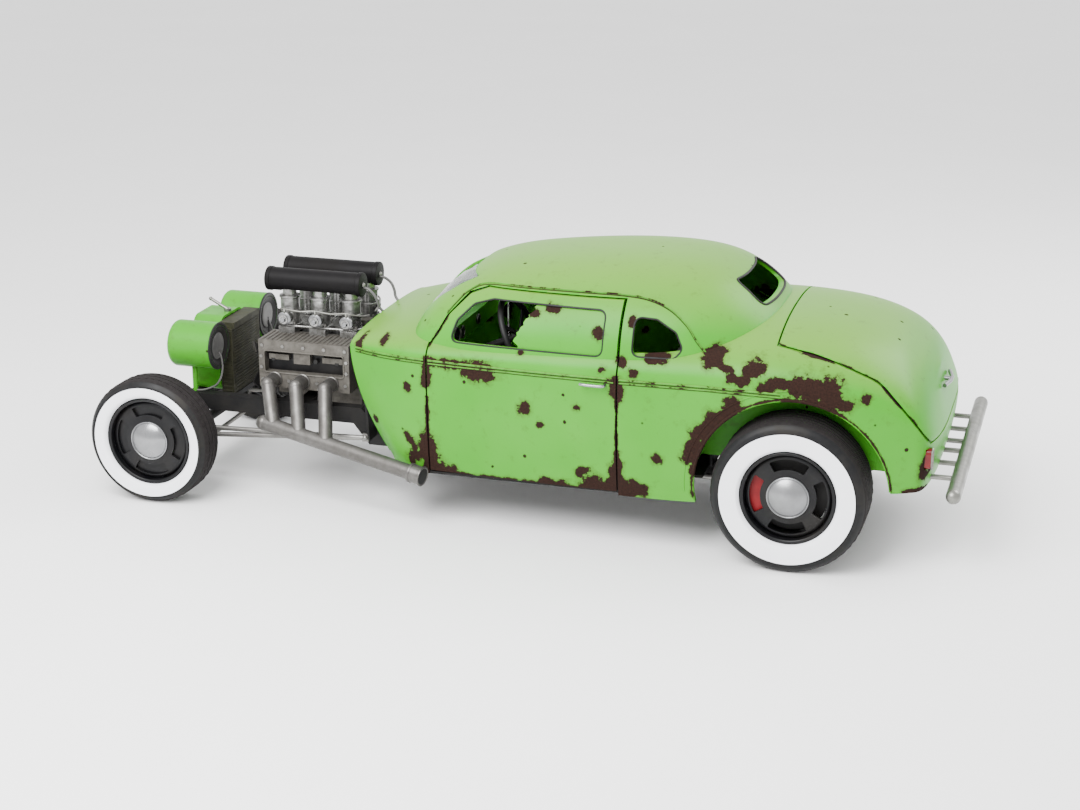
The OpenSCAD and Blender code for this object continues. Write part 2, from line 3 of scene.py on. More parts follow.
import bmesh
import bpy
import numpy as np
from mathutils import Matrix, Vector


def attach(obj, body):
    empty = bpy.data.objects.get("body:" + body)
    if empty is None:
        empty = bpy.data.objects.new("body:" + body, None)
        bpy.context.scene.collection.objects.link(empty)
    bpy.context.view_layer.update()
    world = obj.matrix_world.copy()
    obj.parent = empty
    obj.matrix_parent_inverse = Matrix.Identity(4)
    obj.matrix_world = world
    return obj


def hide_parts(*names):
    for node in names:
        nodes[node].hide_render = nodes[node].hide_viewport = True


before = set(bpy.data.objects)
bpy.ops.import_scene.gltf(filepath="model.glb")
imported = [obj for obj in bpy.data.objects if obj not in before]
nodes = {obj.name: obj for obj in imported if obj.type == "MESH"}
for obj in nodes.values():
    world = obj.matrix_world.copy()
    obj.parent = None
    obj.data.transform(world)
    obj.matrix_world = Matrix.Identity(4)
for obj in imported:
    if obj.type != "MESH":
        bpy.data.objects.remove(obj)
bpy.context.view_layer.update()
midStation = 1768.0  # station of the origin, mm behind the front axle


def place(points):
    # station, side and height in mm become metres in the shared frame
    p = np.asarray(points, float)
    return (p - np.array([midStation, 0.0, 0.0])) / 1000.0


def addObject(name, data):
    obj = bpy.data.objects.new(name, data)
    bpy.context.scene.collection.objects.link(obj)
    return obj


def aimAt(obj, way):
    obj.rotation_euler = Vector(way).to_track_quat("-Z", "Y").to_euler()


print("stage: camera, floor and light")
cameraSet = {"spot": (4438.0, -8988.7, 3496.5), "look": (-0.27190, 0.91091, -0.31034), "lens": 67.42, "sensor": 36.0}
camData = bpy.data.cameras.new("photoCamera")
camData.lens = cameraSet["lens"]
camData.sensor_width = cameraSet["sensor"]
cam = addObject("photoCamera", camData)
cam.location = place(cameraSet["spot"])
aimAt(cam, cameraSet["look"])
bpy.context.scene.camera = cam

# each lamp: name, place, power and size
lightSet = {"world": 1.75, "target": (0.0, 0.0, 0.6), "floor": 60.0,
    "lamps": (("keyLight", (-1.5, -5.0, 6.0), 1350.0, 5.0), ("rimLight", (4.5, 3.5, 5.0), 420.0, 4.0))}
world = bpy.data.worlds.new("paleRoom")
bpy.context.scene.world = world
world.use_nodes = True
sky = world.node_tree.nodes["Background"].inputs
sky["Color"].default_value = (1.0, 1.0, 1.0, 1.0)
sky["Strength"].default_value = lightSet["world"]
for lightName, spot, power, size in lightSet["lamps"]:
    lightData = bpy.data.lights.new(lightName, "AREA")
    lightData.energy = power
    lightData.size = size
    lamp = addObject(lightName, lightData)
    lamp.location = spot
    aimAt(lamp, Vector(lightSet["target"]) - Vector(spot))

floorHalf = lightSet["floor"]
floorMesh = bpy.data.meshes.new("paleFloor")
floorMesh.from_pydata([(x * floorHalf, y * floorHalf, 0) for x, y in ((-1, -1), (1, -1), (1, 1), (-1, 1))],
    [], [(0, 1, 2, 3)])
floorPlane = addObject("paleFloor", floorMesh)

print("stage: materials")
bumpDepth = 0.002


def newMaterial(name):
    mat = bpy.data.materials.new(name)
    mat.use_nodes = True
    tree = mat.node_tree
    return mat, tree, tree.nodes["Principled BSDF"]


def addNode(tree, kind, **values):
    node = tree.nodes.new(kind)
    for key, value in values.items():
        setattr(node, key, value)
    return node


def feed(tree, node, values):
    # each named input takes a colour, a number or a link
    for label, value in values.items():
        if isinstance(value, tuple):
            node.inputs[label].default_value = (*value, 1.0)
        elif isinstance(value, (int, float)):
            node.inputs[label].default_value = value
        else:
            tree.links.new(value, node.inputs[label])


def noiseNode(tree, coords, scale, detail=4.0, rough=0.6):
    noise = addNode(tree, "ShaderNodeTexNoise")
    feed(tree, noise, {"Scale": scale, "Detail": detail, "Roughness": rough, "Vector": coords})
    return noise.outputs["Fac"]


def rampNode(tree, source, stops):
    ramp = addNode(tree, "ShaderNodeValToRGB")
    for end, (spot, colour) in zip(ramp.color_ramp.elements, stops):
        end.position = spot
        end.color = (*colour, 1.0)
    feed(tree, ramp, {"Fac": source})
    return ramp.outputs["Color"]


def mathNode(tree, job, a, b, clamp=False):
    node = addNode(tree, "ShaderNodeMath", operation=job, use_clamp=clamp)
    feed(tree, node, {0: a, 1: b})
    return node.outputs[0]


def mixColour(tree, factor, a, b):
    node = addNode(tree, "ShaderNodeMix", data_type="RGBA")
    feed(tree, node, {0: factor, 6: a, 7: b})
    return node.outputs[2]


def grey(level):
    return (level, level, level)


def bumpFrom(tree, shader, height, strength):
    bump = addNode(tree, "ShaderNodeBump")
    feed(tree, bump, {"Strength": strength, "Distance": bumpDepth, "Height": height})
    feed(tree, shader, {"Normal": bump.outputs["Normal"]})


def objectCoords(tree):
    return addNode(tree, "ShaderNodeTexCoord").outputs["Object"]


def wornMetal(name, dark, light, metallic, roughLow, roughHigh, scale=14.0, bump=0.25,
        grime=(0.03, 0.025, 0.018), dirt=0.35, shine=0.35):
    # two tones broken up by noise, with grime gathered in the darker clouds
    mat, tree, shader = newMaterial(name)
    coords = objectCoords(tree)
    fine = noiseNode(tree, coords, scale, 6.0, 0.65)
    broad = noiseNode(tree, coords, scale * 0.22)
    tone = rampNode(tree, fine, [(0.3, dark), (0.7, light)])
    mask = rampNode(tree, broad, [(0.45, grey(0.0)), (0.75, grey(dirt))])
    rough = rampNode(tree, broad, [(0.3, grey(roughLow)), (0.75, grey(roughHigh))])
    feed(tree, shader, {"Base Color": mixColour(tree, mask, tone, grime), "Roughness": rough, "Metallic": metallic,
        "Specular IOR Level": shine})
    bumpFrom(tree, shader, fine, bump)
    return mat


paintSet = {"green": (0.0372, 0.248, 0.00868), "pale": (0.0558, 0.279, 0.01736), "olive": (0.1333, 0.2666, 0.0341),
    "rust": (0.00992, 0.00434, 0.0031), "rustLight": (0.02232, 0.0093, 0.0062), "stain": (0.046, 0.062, 0.011),
    "shine": 0.14, "rough": 0.36, "rustRough": 0.93, "cloudScale": 1.6, "raggedScale": 17.0, "grainScale": 130.0,
    "spotScale": 7.5, "spotRagged": 0.16, "edgeRagged": 2.1, "rustDepth": 1.2, "waves": 0.6, "bump": 0.35}


def greenPaint():
    # paint lightened to olive on upward faces as a painted sky reflection, breaking into rust where the wear attribute
    # and two noises add up
    mat, tree, shader = newMaterial("greenPaint")
    coords = objectCoords(tree)
    wear = addNode(tree, "ShaderNodeAttribute", attribute_name="wear").outputs["Fac"]
    upward = addNode(tree, "ShaderNodeAttribute", attribute_name="upward").outputs["Fac"]
    broad = noiseNode(tree, coords, paintSet["cloudScale"], 3.0)
    ragged = noiseNode(tree, coords, paintSet["raggedScale"], 7.0, 0.72)
    grain = noiseNode(tree, coords, paintSet["grainScale"], 3.0)
    paint = rampNode(tree, broad, [(0.35, paintSet["green"]), (0.7, paintSet["pale"])])
    # painted sky reflection: upward faces are mixed towards olive
    skyTint = rampNode(tree, upward, [(0.45, grey(0.0)), (0.95, grey(0.75))])
    skyTinted = mixColour(tree, skyTint, paint, paintSet["olive"])
    spots = addNode(tree, "ShaderNodeTexVoronoi")
    feed(tree, spots, {"Scale": paintSet["spotScale"], "Vector": coords})
    spotBreak = mathNode(tree, "MULTIPLY", ragged, paintSet["spotRagged"])
    spotEdge = mathNode(tree, "ADD", spots.outputs["Distance"], spotBreak)
    spotMask = rampNode(tree, spotEdge, [(0.135, grey(1.0)), (0.155, grey(0.0))])
    edgeBreak = mathNode(tree, "MULTIPLY", mathNode(tree, "SUBTRACT", ragged, 0.5), paintSet["edgeRagged"])
    edge = mathNode(tree, "ADD", wear, edgeBreak)
    patch = rampNode(tree, edge, [(0.40, grey(0.0)), (0.47, grey(1.0))])
    rustMask = mathNode(tree, "MAXIMUM", patch, spotMask, True)
    stain = rampNode(tree, edge, [(0.06, grey(0.0)), (0.42, grey(0.5))])
    stained = mixColour(tree, stain, skyTinted, paintSet["stain"])
    rust = rampNode(tree, grain, [(0.3, paintSet["rust"]), (0.75, paintSet["rustLight"])])
    rough = mixColour(tree, rustMask, grey(paintSet["rough"]), grey(paintSet["rustRough"]))
    feed(tree, shader, {"Base Color": mixColour(tree, rustMask, stained, rust), "Roughness": rough,
        "Specular IOR Level": paintSet["shine"]})
    pits = mathNode(tree, "MULTIPLY", rustMask, mathNode(tree, "SUBTRACT", grain, paintSet["rustDepth"]))
    height = mathNode(tree, "ADD", pits, mathNode(tree, "MULTIPLY", broad, paintSet["waves"]))
    bumpFrom(tree, shader, height, paintSet["bump"])
    return mat


def clearGlass(name, tint, rough):
    mat, tree, shader = newMaterial(name)
    dust = noiseNode(tree, objectCoords(tree), 18.0, 5.0)
    film = rampNode(tree, dust, [(0.3, grey(rough)), (0.8, grey(rough + 0.18))])
    tone = rampNode(tree, dust, [(0.3, tint), (0.9, tuple(0.8 * c for c in tint))])
    feed(tree, shader, {"Roughness": film, "Base Color": tone, "Transmission Weight": 1.0, "IOR": 1.45})
    return mat


paintMat = greenPaint()
blackMat = wornMetal("blackChassis", (0.00372, 0.00372, 0.00434), (0.00992, 0.0093, 0.00868), 0.0, 0.45, 0.8, shine=0.2)
steelMat = wornMetal("dullSteel", (0.1612, 0.155, 0.1457), (0.2604, 0.2542, 0.2418), 0.85, 0.35, 0.6)
castMat = wornMetal("castEngine", (0.062, 0.05704, 0.0496), (0.1302, 0.1209, 0.1054), 0.45, 0.5, 0.8, 30.0, 0.5)
chromeMat = wornMetal("agedChrome", (0.1612, 0.1612, 0.1457), (0.248, 0.248, 0.2263), 0.9, 0.25, 0.55, 20.0, 0.15,
    (0.062, 0.0558, 0.0434))
pipeMat = wornMetal("dulledPipe", (0.082, 0.077, 0.072), (0.14, 0.135, 0.128), 0.7, 0.3, 0.55, 24.0, 0.2)
filterMat = wornMetal("filterBlack", (0.00186, 0.0016, 0.00186), (0.0038, 0.0032, 0.0038), 0.0, 0.45, 0.65, dirt=0.1,
    shine=0.12)
rimMat = wornMetal("wheelBlack", (0.00186, 0.00186, 0.00248), (0.00496, 0.00496, 0.00558), 0.0, 0.3, 0.5, shine=0.2)
capMat = wornMetal("capSatin", (0.2046, 0.2077, 0.2139), (0.2852, 0.2883, 0.2945), 0.9, 0.22, 0.4, 9.0, 0.1)
redMat = wornMetal("caliperRed", (0.124, 0.00372, 0.0062), (0.186, 0.00744, 0.01054), 0.0, 0.4, 0.6, shine=0.2)
lampMat = wornMetal("lampRed", (0.0806, 0.00186, 0.00186), (0.1488, 0.00496, 0.00496), 0.0, 0.12, 0.3, shine=0.3)
oliveMat = wornMetal("radiatorOlive", (0.0124, 0.0124, 0.00744), (0.0341, 0.0341, 0.01736), 0.1, 0.5, 0.8, 26.0, 0.4,
    shine=0.2)
clothMat = wornMetal("seatCloth", (0.01736, 0.01736, 0.0186), (0.0372, 0.0372, 0.03906), 0.0, 0.8, 0.95, 160.0, 0.6)
rubberMat = wornMetal("hardRubber", (0.0062, 0.0062, 0.0062), (0.01488, 0.01488, 0.01488), 0.0, 0.45, 0.7, shine=0.2)
alloyMat = wornMetal("carbAlloy", (0.1364, 0.1333, 0.124), (0.3844, 0.3844, 0.3782), 0.9, 0.2, 0.45, 46.0, 0.5,
    (0.0372, 0.031, 0.0248), 0.6)
# near-black finish of the painted shadow lines under the belt beads and the drip rail
beadShadowMat = wornMetal("seamDirt", (0.01116, 0.00868, 0.00496), (0.031, 0.0279, 0.0124), 0.0, 0.8, 0.95, 60.0, 0.3,
    shine=0.1)
edgeMat = wornMetal("edgeRed", (0.0434, 0.00248, 0.00248), (0.0806, 0.00496, 0.00496), 0.0, 0.4, 0.6, shine=0.2)
hoseMat = wornMetal("greyHose", (0.0558, 0.0558, 0.05456), (0.1178, 0.1147, 0.1116), 0.3, 0.4, 0.6)
glassMat = clearGlass("dustyGlass", (0.75, 0.82, 0.80), 0.04)
lensMat = clearGlass("lampLens", (0.9, 0.92, 0.94), 0.08)
floorMat = wornMetal("paleGround", grey(0.90), grey(0.93), 0.0, 0.8, 0.9, 0.5, 0.0, grey(0.90), 0.0)
floorMesh.materials.append(floorMat)

nodeGroups = (
    (blackMat, "frame front_axle front_spring rear_axle fan firewall floor column fuel_tank"),
    (blackMat, "knuckle_left knuckle_right"),
    (steelMat, "radius_rods rear_springs tie_rod"), (redMat, "calipers"), (castMat, "engine gearbox"),
    (alloyMat, "intake"), (filterMat, "air_filters"), (pipeMat, "exhaust"), (oliveMat, "radiator"),
    (chromeMat, "ornament bumper"), (lensMat, "headlamp_lenses"), (glassMat, "windscreen"), (clothMat, "seat"),
    (lampMat, "tail_lamps"),
    (rubberMat, "steering_wheel front_tyre_left front_tyre_right rear_tyre_left rear_tyre_right"),
    (rimMat, "front_wheel_left front_wheel_right rear_wheel_left rear_wheel_right"),
    (paintMat, "wheel_wells grille_shell headlamps dash cowl roof rear_body boot_lid door_left door_right"),
    (paintMat, "pane_left pane_right"))
for finish, names in nodeGroups:
    for nodeName in names.split():
        nodes[nodeName].data.materials.clear()
        nodes[nodeName].data.materials.append(finish)

print("stage: body surfaces")
# rocker station, height, half width; belt station, height, half width; top station, height; share of wall rearward
bodyRows = np.array([
    [1150, 300, 470, 985, 817, 525, 990, 880, 0],
    [1240, 255, 560, 1180, 817, 600, 1170, 930, 0],
    [1400, 255, 608, 1400, 817, 640, 1390, 965, 0],
    [1860, 255, 632, 1860, 817, 672, 1860, 1005, 0],
    [2313, 255, 640, 2313, 817, 684, 2320, 1035, 0],
    [2720, 265, 640, 2720, 820, 684, 2740, 1055, 0],
    [3100, 320, 640, 3080, 812, 672, 3050, 1060, 0],
    [3420, 372, 625, 3390, 780, 650, 3290, 1038, 0.1],
    [3600, 388, 600, 3590, 715, 612, 3470, 985, 0.5],
    [3670, 396, 545, 3685, 640, 545, 3590, 900, 0.9],
    [3700, 402, 300, 3728, 600, 300, 3650, 830, 1],
    [3705, 404, 0, 3735, 590, 0, 3665, 810, 1]], float)
# station, centre height, half width at the foot
domeRows = np.array([
    [1270, 940, 520], [1330, 1045, 570], [1440, 1135, 606], [1620, 1200, 634], [1880, 1243, 648], [2200, 1272, 655],
    [2460, 1274, 652], [2640, 1250, 626], [2780, 1195, 565], [2890, 1115, 480], [2960, 1050, 400]], float)
# finer steps than the solid's facets rise a little higher, so the dome sits a trace lower
domeRows[:, 1] -= 0.35
shellSet = {"wall": 26.0, "seam": 8.0, "domeFoot": 800.0, "bodyPower": 2.3, "domePower": 2.5, "overlap": 0.6,
    "step": 13.0, "sideLines": 42, "topLines": 52, "domeLines": 60, "footDrop": 60.0, "noseRun": 80.0, "far": 3000.0,
    "nose": 600.0, "tail": 6000.0}
sideFlip = np.array([1, -1, 1])
bodyLast = len(bodyRows) - 1
domeLast = len(domeRows) - 1


def padRows(rows, folds):
    first = 2 * rows[0] - rows[1]
    last = rows[-2] * np.array([1, 1, -1, 1, 1, -1, 1, 1, 1]) if folds else 2 * rows[-1] - rows[-2]
    return np.vstack([first, rows, last])


def rowAt(padded, u):
    i = int(min(math.floor(u), len(padded) - 4))
    f = u - i
    a, b, c, d = padded[i:i + 4]
    return 0.5 * (2 * b + (c - a) * f + (2 * a - 5 * b + 4 * c - d) * f ** 2 + (3 * b - a - 3 * c + d) * f ** 3)


bodyPad = padRows(bodyRows, True)
domePad = padRows(domeRows, False)


def bodyPoint(u, t, inset=0.0):
    r = rowAt(bodyPad, u)
    shift = inset * r[8]
    belt = max(2.0, r[5] - inset)
    rocker = max(2.0, r[2] - inset)
    if t < 1:
        k = 1 - t
        return (r[3] - shift + (r[0] - r[3]) * k ** 1.6, belt - (belt - rocker) * k ** 2.4, r[4] + (r[1] - r[4]) * k)
    q = (t - 1) * math.pi / 2
    a = math.sin(q) ** (2 / shellSet["bodyPower"])
    b = max(0.0, math.cos(q)) ** (2 / shellSet["bodyPower"]) if t < 2 else 0.0
    return (r[3] - shift + (r[6] - r[3]) * a, belt * b, r[4] + (r[7] - inset - r[4]) * a)


def domePoint(u, t, inset=0.0):
    r = rowAt(domePad, u)
    q = t * math.pi / 2
    a = math.sin(q) ** (2 / shellSet["domePower"])
    b = max(0.0, math.cos(q)) ** (2 / shellSet["domePower"]) if t < 1 else 0.0
    foot = shellSet["domeFoot"]
    return (r[0], (r[2] - inset) * b, foot + (r[1] - inset - foot) * a)


def fullRing(half):
    # left half from the foot up, the middle point, then the right half down again
    half = np.asarray(half)
    return np.vstack([half * sideFlip, half[-2::-1]])


def makeObject(name, points, faces):
    mesh = bpy.data.meshes.new(name)
    mesh.from_pydata([tuple(p) for p in points], [], faces)
    mesh.validate()
    return addObject(name, mesh)


def editMesh(mesh, edit):
    bm = bmesh.new()
    bm.from_mesh(mesh)
    edit(bm)
    bm.to_mesh(mesh)
    bm.free()


def faceOutward(bm):
    bmesh.ops.recalc_face_normals(bm, faces=bm.faces)


def swapSides(bm):
    bmesh.ops.scale(bm, vec=tuple(sideFlip), verts=bm.verts)
    bmesh.ops.reverse_faces(bm, faces=bm.faces)


def weldTurned(bm):
    bmesh.ops.remove_doubles(bm, verts=bm.verts, dist=1e-6)
    bmesh.ops.dissolve_degenerate(bm, edges=bm.edges, dist=1e-7)
    faceOutward(bm)


def bakeShape(obj):
    # evaluates the modifiers once and keeps the plain mesh
    bpy.context.view_layer.update()
    mesh = bpy.data.meshes.new_from_object(obj.evaluated_get(bpy.context.evaluated_depsgraph_get()))
    obj.modifiers.clear()
    obj.data = mesh
    mesh.name = obj.name
    return obj


def dress(obj, body, node=None):
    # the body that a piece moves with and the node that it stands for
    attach(obj, body)
    if node:
        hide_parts(node)
    return obj


def loftSolid(name, rings):
    n, m = len(rings), len(rings[0])
    faces = []
    for i in range(n - 1):
        for j in range(m):
            a, b = i * m + j, i * m + (j + 1) % m
            faces.append((a, a + m, b + m, b))
    for base, flip in ((0, False), ((n - 1) * m, True)):
        for j in range(m // 2):
            p, q = j, m - 1 - j
            cap = (p, q, q - 1, p + 1) if q - p > 2 else (p, q, p + 1)
            cap = tuple(base + k for k in cap)
            faces.append(cap if flip else tuple(reversed(cap)))
    return makeObject(name, place(np.vstack(rings)), faces)


def evenSteps(padded, last, columns):
    # row places about one step apart along the surface
    fine = np.linspace(0, last, 1500)
    path = np.array([rowAt(padded, u)[columns] for u in fine])
    run = np.r_[0, np.cumsum(np.linalg.norm(np.diff(path, axis=0), axis=1))]
    return np.interp(np.linspace(0, run[-1], int(run[-1] / shellSet["step"])), run, fine)


bodyTs = np.concatenate([np.linspace(0, 1, shellSet["sideLines"])[:-1], 1 + np.linspace(0, 1, shellSet["topLines"])])
domeTs = np.linspace(0, 1, shellSet["domeLines"]) ** 1.25
bodyUs = evenSteps(bodyPad, bodyLast - 0.015, [3, 5])
domeUs = evenSteps(domePad, domeLast, [0, 1])


def bodySolid(name, inset):
    rings = [fullRing([bodyPoint(u, t, inset) for t in bodyTs]) for u in bodyUs]
    if inset > 0:
        for ring in rings:
            ring[[0, -1], 2] -= shellSet["footDrop"]
        rings.insert(0, rings[0] - np.array([shellSet["noseRun"], 0, 0]))
    return loftSolid(name, rings)


def domeSolid(name, inset):
    return loftSolid(name, [fullRing([domePoint(u, t, inset) for t in domeTs]) for u in domeUs])


def roundOutline(points, radius, steps=8):
    # corners of an outline turned into arcs
    pts = [np.array(p, float) for p in points]
    out = []
    for k, p in enumerate(pts):
        a, b = pts[k - 1] - p, pts[(k + 1) % len(pts)] - p
        la, lb = np.linalg.norm(a), np.linalg.norm(b)
        angle = math.acos(max(-1, min(1, a @ b / la / lb)))
        cut = min(radius / math.tan(angle / 2), 0.45 * la, 0.45 * lb) if angle < 3.1 else 0.0
        if cut < 0.5:
            out.append(p)
            continue
        s, e = p + a / la * cut, p + b / lb * cut
        for f in np.linspace(0, 1, steps):
            out.append((1 - f) ** 2 * s + 2 * f * (1 - f) * p + f * f * e)
    return np.array(out)


def denseOutline(points, step=14.0):
    # a closed outline with points no further apart than the step
    pts = np.asarray(points, float)
    out = []
    for a, b in zip(pts, np.roll(pts, -1, axis=0)):
        count = max(1, int(np.linalg.norm(b - a) / step))
        out += [a + (b - a) * f for f in np.linspace(0, 1, count, endpoint=False)]
    return np.array(out)


def prism(name, outline, low, high, axis):
    # outline in station and height pushed sideways, or in side and height pushed along the station
    n = len(outline)
    points = [(p[0], v, p[1]) if axis == "side" else (v, p[0], p[1]) for v in (low, high) for p in outline]
    faces = [tuple(range(n)), tuple(range(2 * n - 1, n - 1, -1))]
    faces += [(k, n + k, n + (k + 1) % n, (k + 1) % n) for k in range(n)]
    obj = makeObject(name, place(points), faces)
    editMesh(obj.data, faceOutward)
    return obj


def boxSolid(name, low, high):
    corners = [(low[0], low[2]), (high[0], low[2]), (high[0], high[2]), (low[0], high[2])]
    return prism(name, corners, low[1], high[1], "side")


def carve(name, base, steps, mat=None):
    # runs a chain of boolean steps on a copy of base
    work = addObject(name, base.data.copy())
    for job, tool in steps:
        mod = work.modifiers.new(job, "BOOLEAN")
        mod.operation = job
        mod.object = tool
        mod.solver = "MANIFOLD"
    bakeShape(work).data.materials.clear()
    if mat:
        work.data.materials.append(mat)
    return work


def mirrorCopy(obj, name):
    mesh = obj.data.copy()
    editMesh(mesh, swapSides)
    mesh.name = name
    return addObject(name, mesh)


def smoothSharp(obj, degrees=34.0):
    obj.data.polygons.foreach_set("use_smooth", [True] * len(obj.data.polygons))
    obj.data.set_sharp_from_angle(angle=math.radians(degrees))


def circleOutline(centre, radius, count):
    turn = np.linspace(0, 2 * math.pi, count, endpoint=False)
    return np.c_[centre[0] + radius * np.cos(turn), centre[1] + radius * np.sin(turn)]


def arcPoints(centre, radius, low, high, count):
    turn = np.radians(np.linspace(low, high, count))
    return np.c_[centre[0] + radius * np.cos(turn), centre[1] + radius * np.sin(turn)]


archSet = {"centre": (3100.0, 350.0), "radius": 436.0, "lip": 438.0, "rust": 442.0, "crease": 478.0, "inner": 450.0}
wearSet = {"none": -0.1, "slope": 0.6, "cowl": 1300.0, "cowlSide": 0.50, "tail": 3640.0, "tailSide": 0.56,
    "blend": 0.16, "cut": 1.3}
# worn places on the sides: start station, height, end station, height, reach in mm
wearLines = [
    (1400, 262, 1400, 420, 46), (1440, 285, 1500, 272, 44), (1330, 330, 1390, 380, 42), (1290, 430, 1330, 380, 22),
    (1400, 420, 1400, 640, 10), (1398, 700, 1400, 790, 24), (1400, 812, 1590, 808, 24), (1600, 800, 1710, 790, 44),
    (2313, 270, 2313, 400, 36), (2313, 400, 2313, 470, 20), (2180, 290, 2400, 285, 50), (2313, 745, 2313, 800, 34),
    (2313, 470, 2313, 740, 8), (1500, 268, 2180, 268, 17), (1960, 280, 2070, 275, 26), (2140, 355, 2165, 365, 26),
    (1876, 637, 1878, 640, 34), (1301, 672, 1302, 676, 19), (1163, 868, 1165, 870, 20), (1030, 830, 1040, 880, 20),
    (2497, 454, 2500, 456, 27), (2384, 855, 2388, 857, 22), (2241, 853, 2243, 855, 19), (1857, 892, 1859, 893, 16),
    (2320, 894, 2335, 894, 21), (2450, 918, 2520, 922, 24), (2357, 1050, 2360, 1075, 16), (2640, 480, 2700, 600, 36),
    (2700, 600, 2760, 680, 44), (2790, 690, 2850, 740, 40), (2725, 930, 2750, 945, 38), (1104, 468, 1106, 470, 18),
    (1951, 566, 1953, 568, 16), (2116, 665, 2130, 668, 18), (3120, 842, 3250, 838, 56), (3250, 800, 3330, 785, 36),
    (2900, 905, 2945, 915, 36), (2960, 834, 3010, 834, 28), (3060, 775, 3220, 775, 24), (3690, 470, 3700, 520, 40),
    (3416, 809, 3418, 811, 22), (2207, 998, 2209, 1002, 26), (1960, 1086, 2005, 1084, 20), (1885, 1064, 1915, 1062, 18),
    (3600, 392, 3690, 402, 18), (1404, 880, 1440, 935, 6), (1440, 935, 1480, 1012, 6), (3005, 992, 3307, 934, 3),
    (3307, 934, 3451, 880, 3), (3451, 880, 3611, 727, 3), (3611, 727, 3691, 612, 4), (2700, 955, 2740, 925, 16),
    (2760, 912, 2830, 900, 14), (2995, 850, 3090, 856, 30), (2830, 868, 2890, 862, 22)]
# rusty edge of the wheel arches: angle, angle, reach
wearArcs = [(6, 60, 4), (60, 100, 8), (100, 128, 6), (128, 172, 20), (172, 188, 8)]
for low, high, reach in wearArcs:
    arc = arcPoints(archSet["centre"], archSet["rust"], low, high, 7)
    wearLines += [(*a, *b, reach) for a, b in zip(arc[:-1], arc[1:])]


def wearField(points):
    # highest nearness to any worn line, from the left or right side alike
    s = points[:, 0] * 1000 + midStation
    z = points[:, 2] * 1000
    best = np.full(len(points), wearSet["none"])
    for s0, z0, s1, z1, reach in wearLines:
        d = np.array([s1 - s0, z1 - z0], float)
        t = np.clip(((s - s0) * d[0] + (z - z0) * d[1]) / max(1.0, d @ d), 0, 1)
        away = np.hypot(s - s0 - t * d[0], z - z0 - t * d[1])
        best = np.maximum(best, 1.0 - wearSet["slope"] * away / reach)
    # the side view's rust ends a little way round the cowl and the tail corners
    cowl, tail = s < wearSet["cowl"], s > wearSet["tail"]
    edge = np.where(cowl, wearSet["cowlSide"], wearSet["tailSide"])
    inward = np.clip((edge - np.abs(points[:, 1])) / wearSet["blend"], 0.0, 1.0)
    return best - wearSet["cut"] * inward * (cowl | tail)


def readVectors(items, field):
    values = np.zeros(len(items) * 3)
    items.foreach_get(field, values)
    return values.reshape(-1, 3)


# writes the wear attribute, and the upward share of each normal that drives the painted sky reflection on the paint
def addWearAndSkyTint(obj, level=None):
    points = readVectors(obj.data.vertices, "co")
    upward = np.clip(readVectors(obj.data.vertex_normals, "vector")[:, 2], 0.0, 1.0)
    wear = wearField(points) if level is None else np.full(len(points), level)
    for label, values in (("wear", wear), ("upward", upward)):
        layer = obj.data.attributes.new(label, "FLOAT", "POINT")
        layer.data.foreach_set("value", values.astype(np.float32))


doorSet = {"front": 1400.0, "rear": 2313.0, "low": 275.0, "lead": 6.0}
lidSet = {"front": 3005.0, "low": 612.0, "over": 900, "behind": 1200,
    "line": [(0, 380), (97, 367), (176, 355), (302, 322), (446, 268), (527, 201), (606, 115), (653, 56), (686, 0)]}
lampSet = {"side": 540.0, "seat": 24.5, "low": 490.5, "high": 584.5, "front": 3600.0, "rear": 3760.0}
strutSet = {"sides": (-450, -250, -70, 70, 250, 450), "height": 424.0, "hole": 13.0, "start": 3575, "end": 3900}


def smoothPath(points, steps=6):
    # soft curve through the points
    p = np.asarray(points, float)
    padded = padRows(p, False)
    shares = np.linspace(0, 1, steps, endpoint=False)
    return np.array([rowAt(padded, i + f) for i in range(len(p) - 1) for f in shares] + [p[-1]])


def growOutline(points, grow):
    # every edge of an outline moved outward by the same distance
    pts = np.asarray(points, float)
    n = len(pts)
    area = sum(pts[k][0] * pts[(k + 1) % n][1] - pts[(k + 1) % n][0] * pts[k][1] for k in range(n))
    turn = 1.0 if area > 0 else -1.0
    out = []
    for k in range(n):
        a, b = pts[k] - pts[k - 1], pts[(k + 1) % n] - pts[k]
        a, b = a / np.linalg.norm(a), b / np.linalg.norm(b)
        na, nb = turn * np.array([a[1], -a[0]]), turn * np.array([b[1], -b[0]])
        out.append(pts[k] + grow * (na + nb) / (1.0 + na @ nb))
    return np.array(out)


def lidOutline(grow):
    over, behind = lidSet["over"], lidSet["behind"]
    line = np.vstack([[(behind, over), (0, over)], smoothPath(lidSet["line"], 5), [(behind, 0)]])
    return growOutline(line + np.array([lidSet["front"], lidSet["low"]]), grow)


def doorOutline(grow):
    half = shellSet["seam"] / 2
    front, rear = doorSet["front"] + half - grow, doorSet["rear"] - half + grow
    low, lead = doorSet["low"] - grow, doorSet["lead"] * (grow == 0)
    return np.array([(front, low), (rear, low), (rear, 900), (rear - lead, 905), (rear - lead, 1140 + grow),
        (1640, 1128 + grow), (1560 - grow, 1098 + grow), (1478 - grow, 1010), (1440 - grow, 930), (front, 880)])


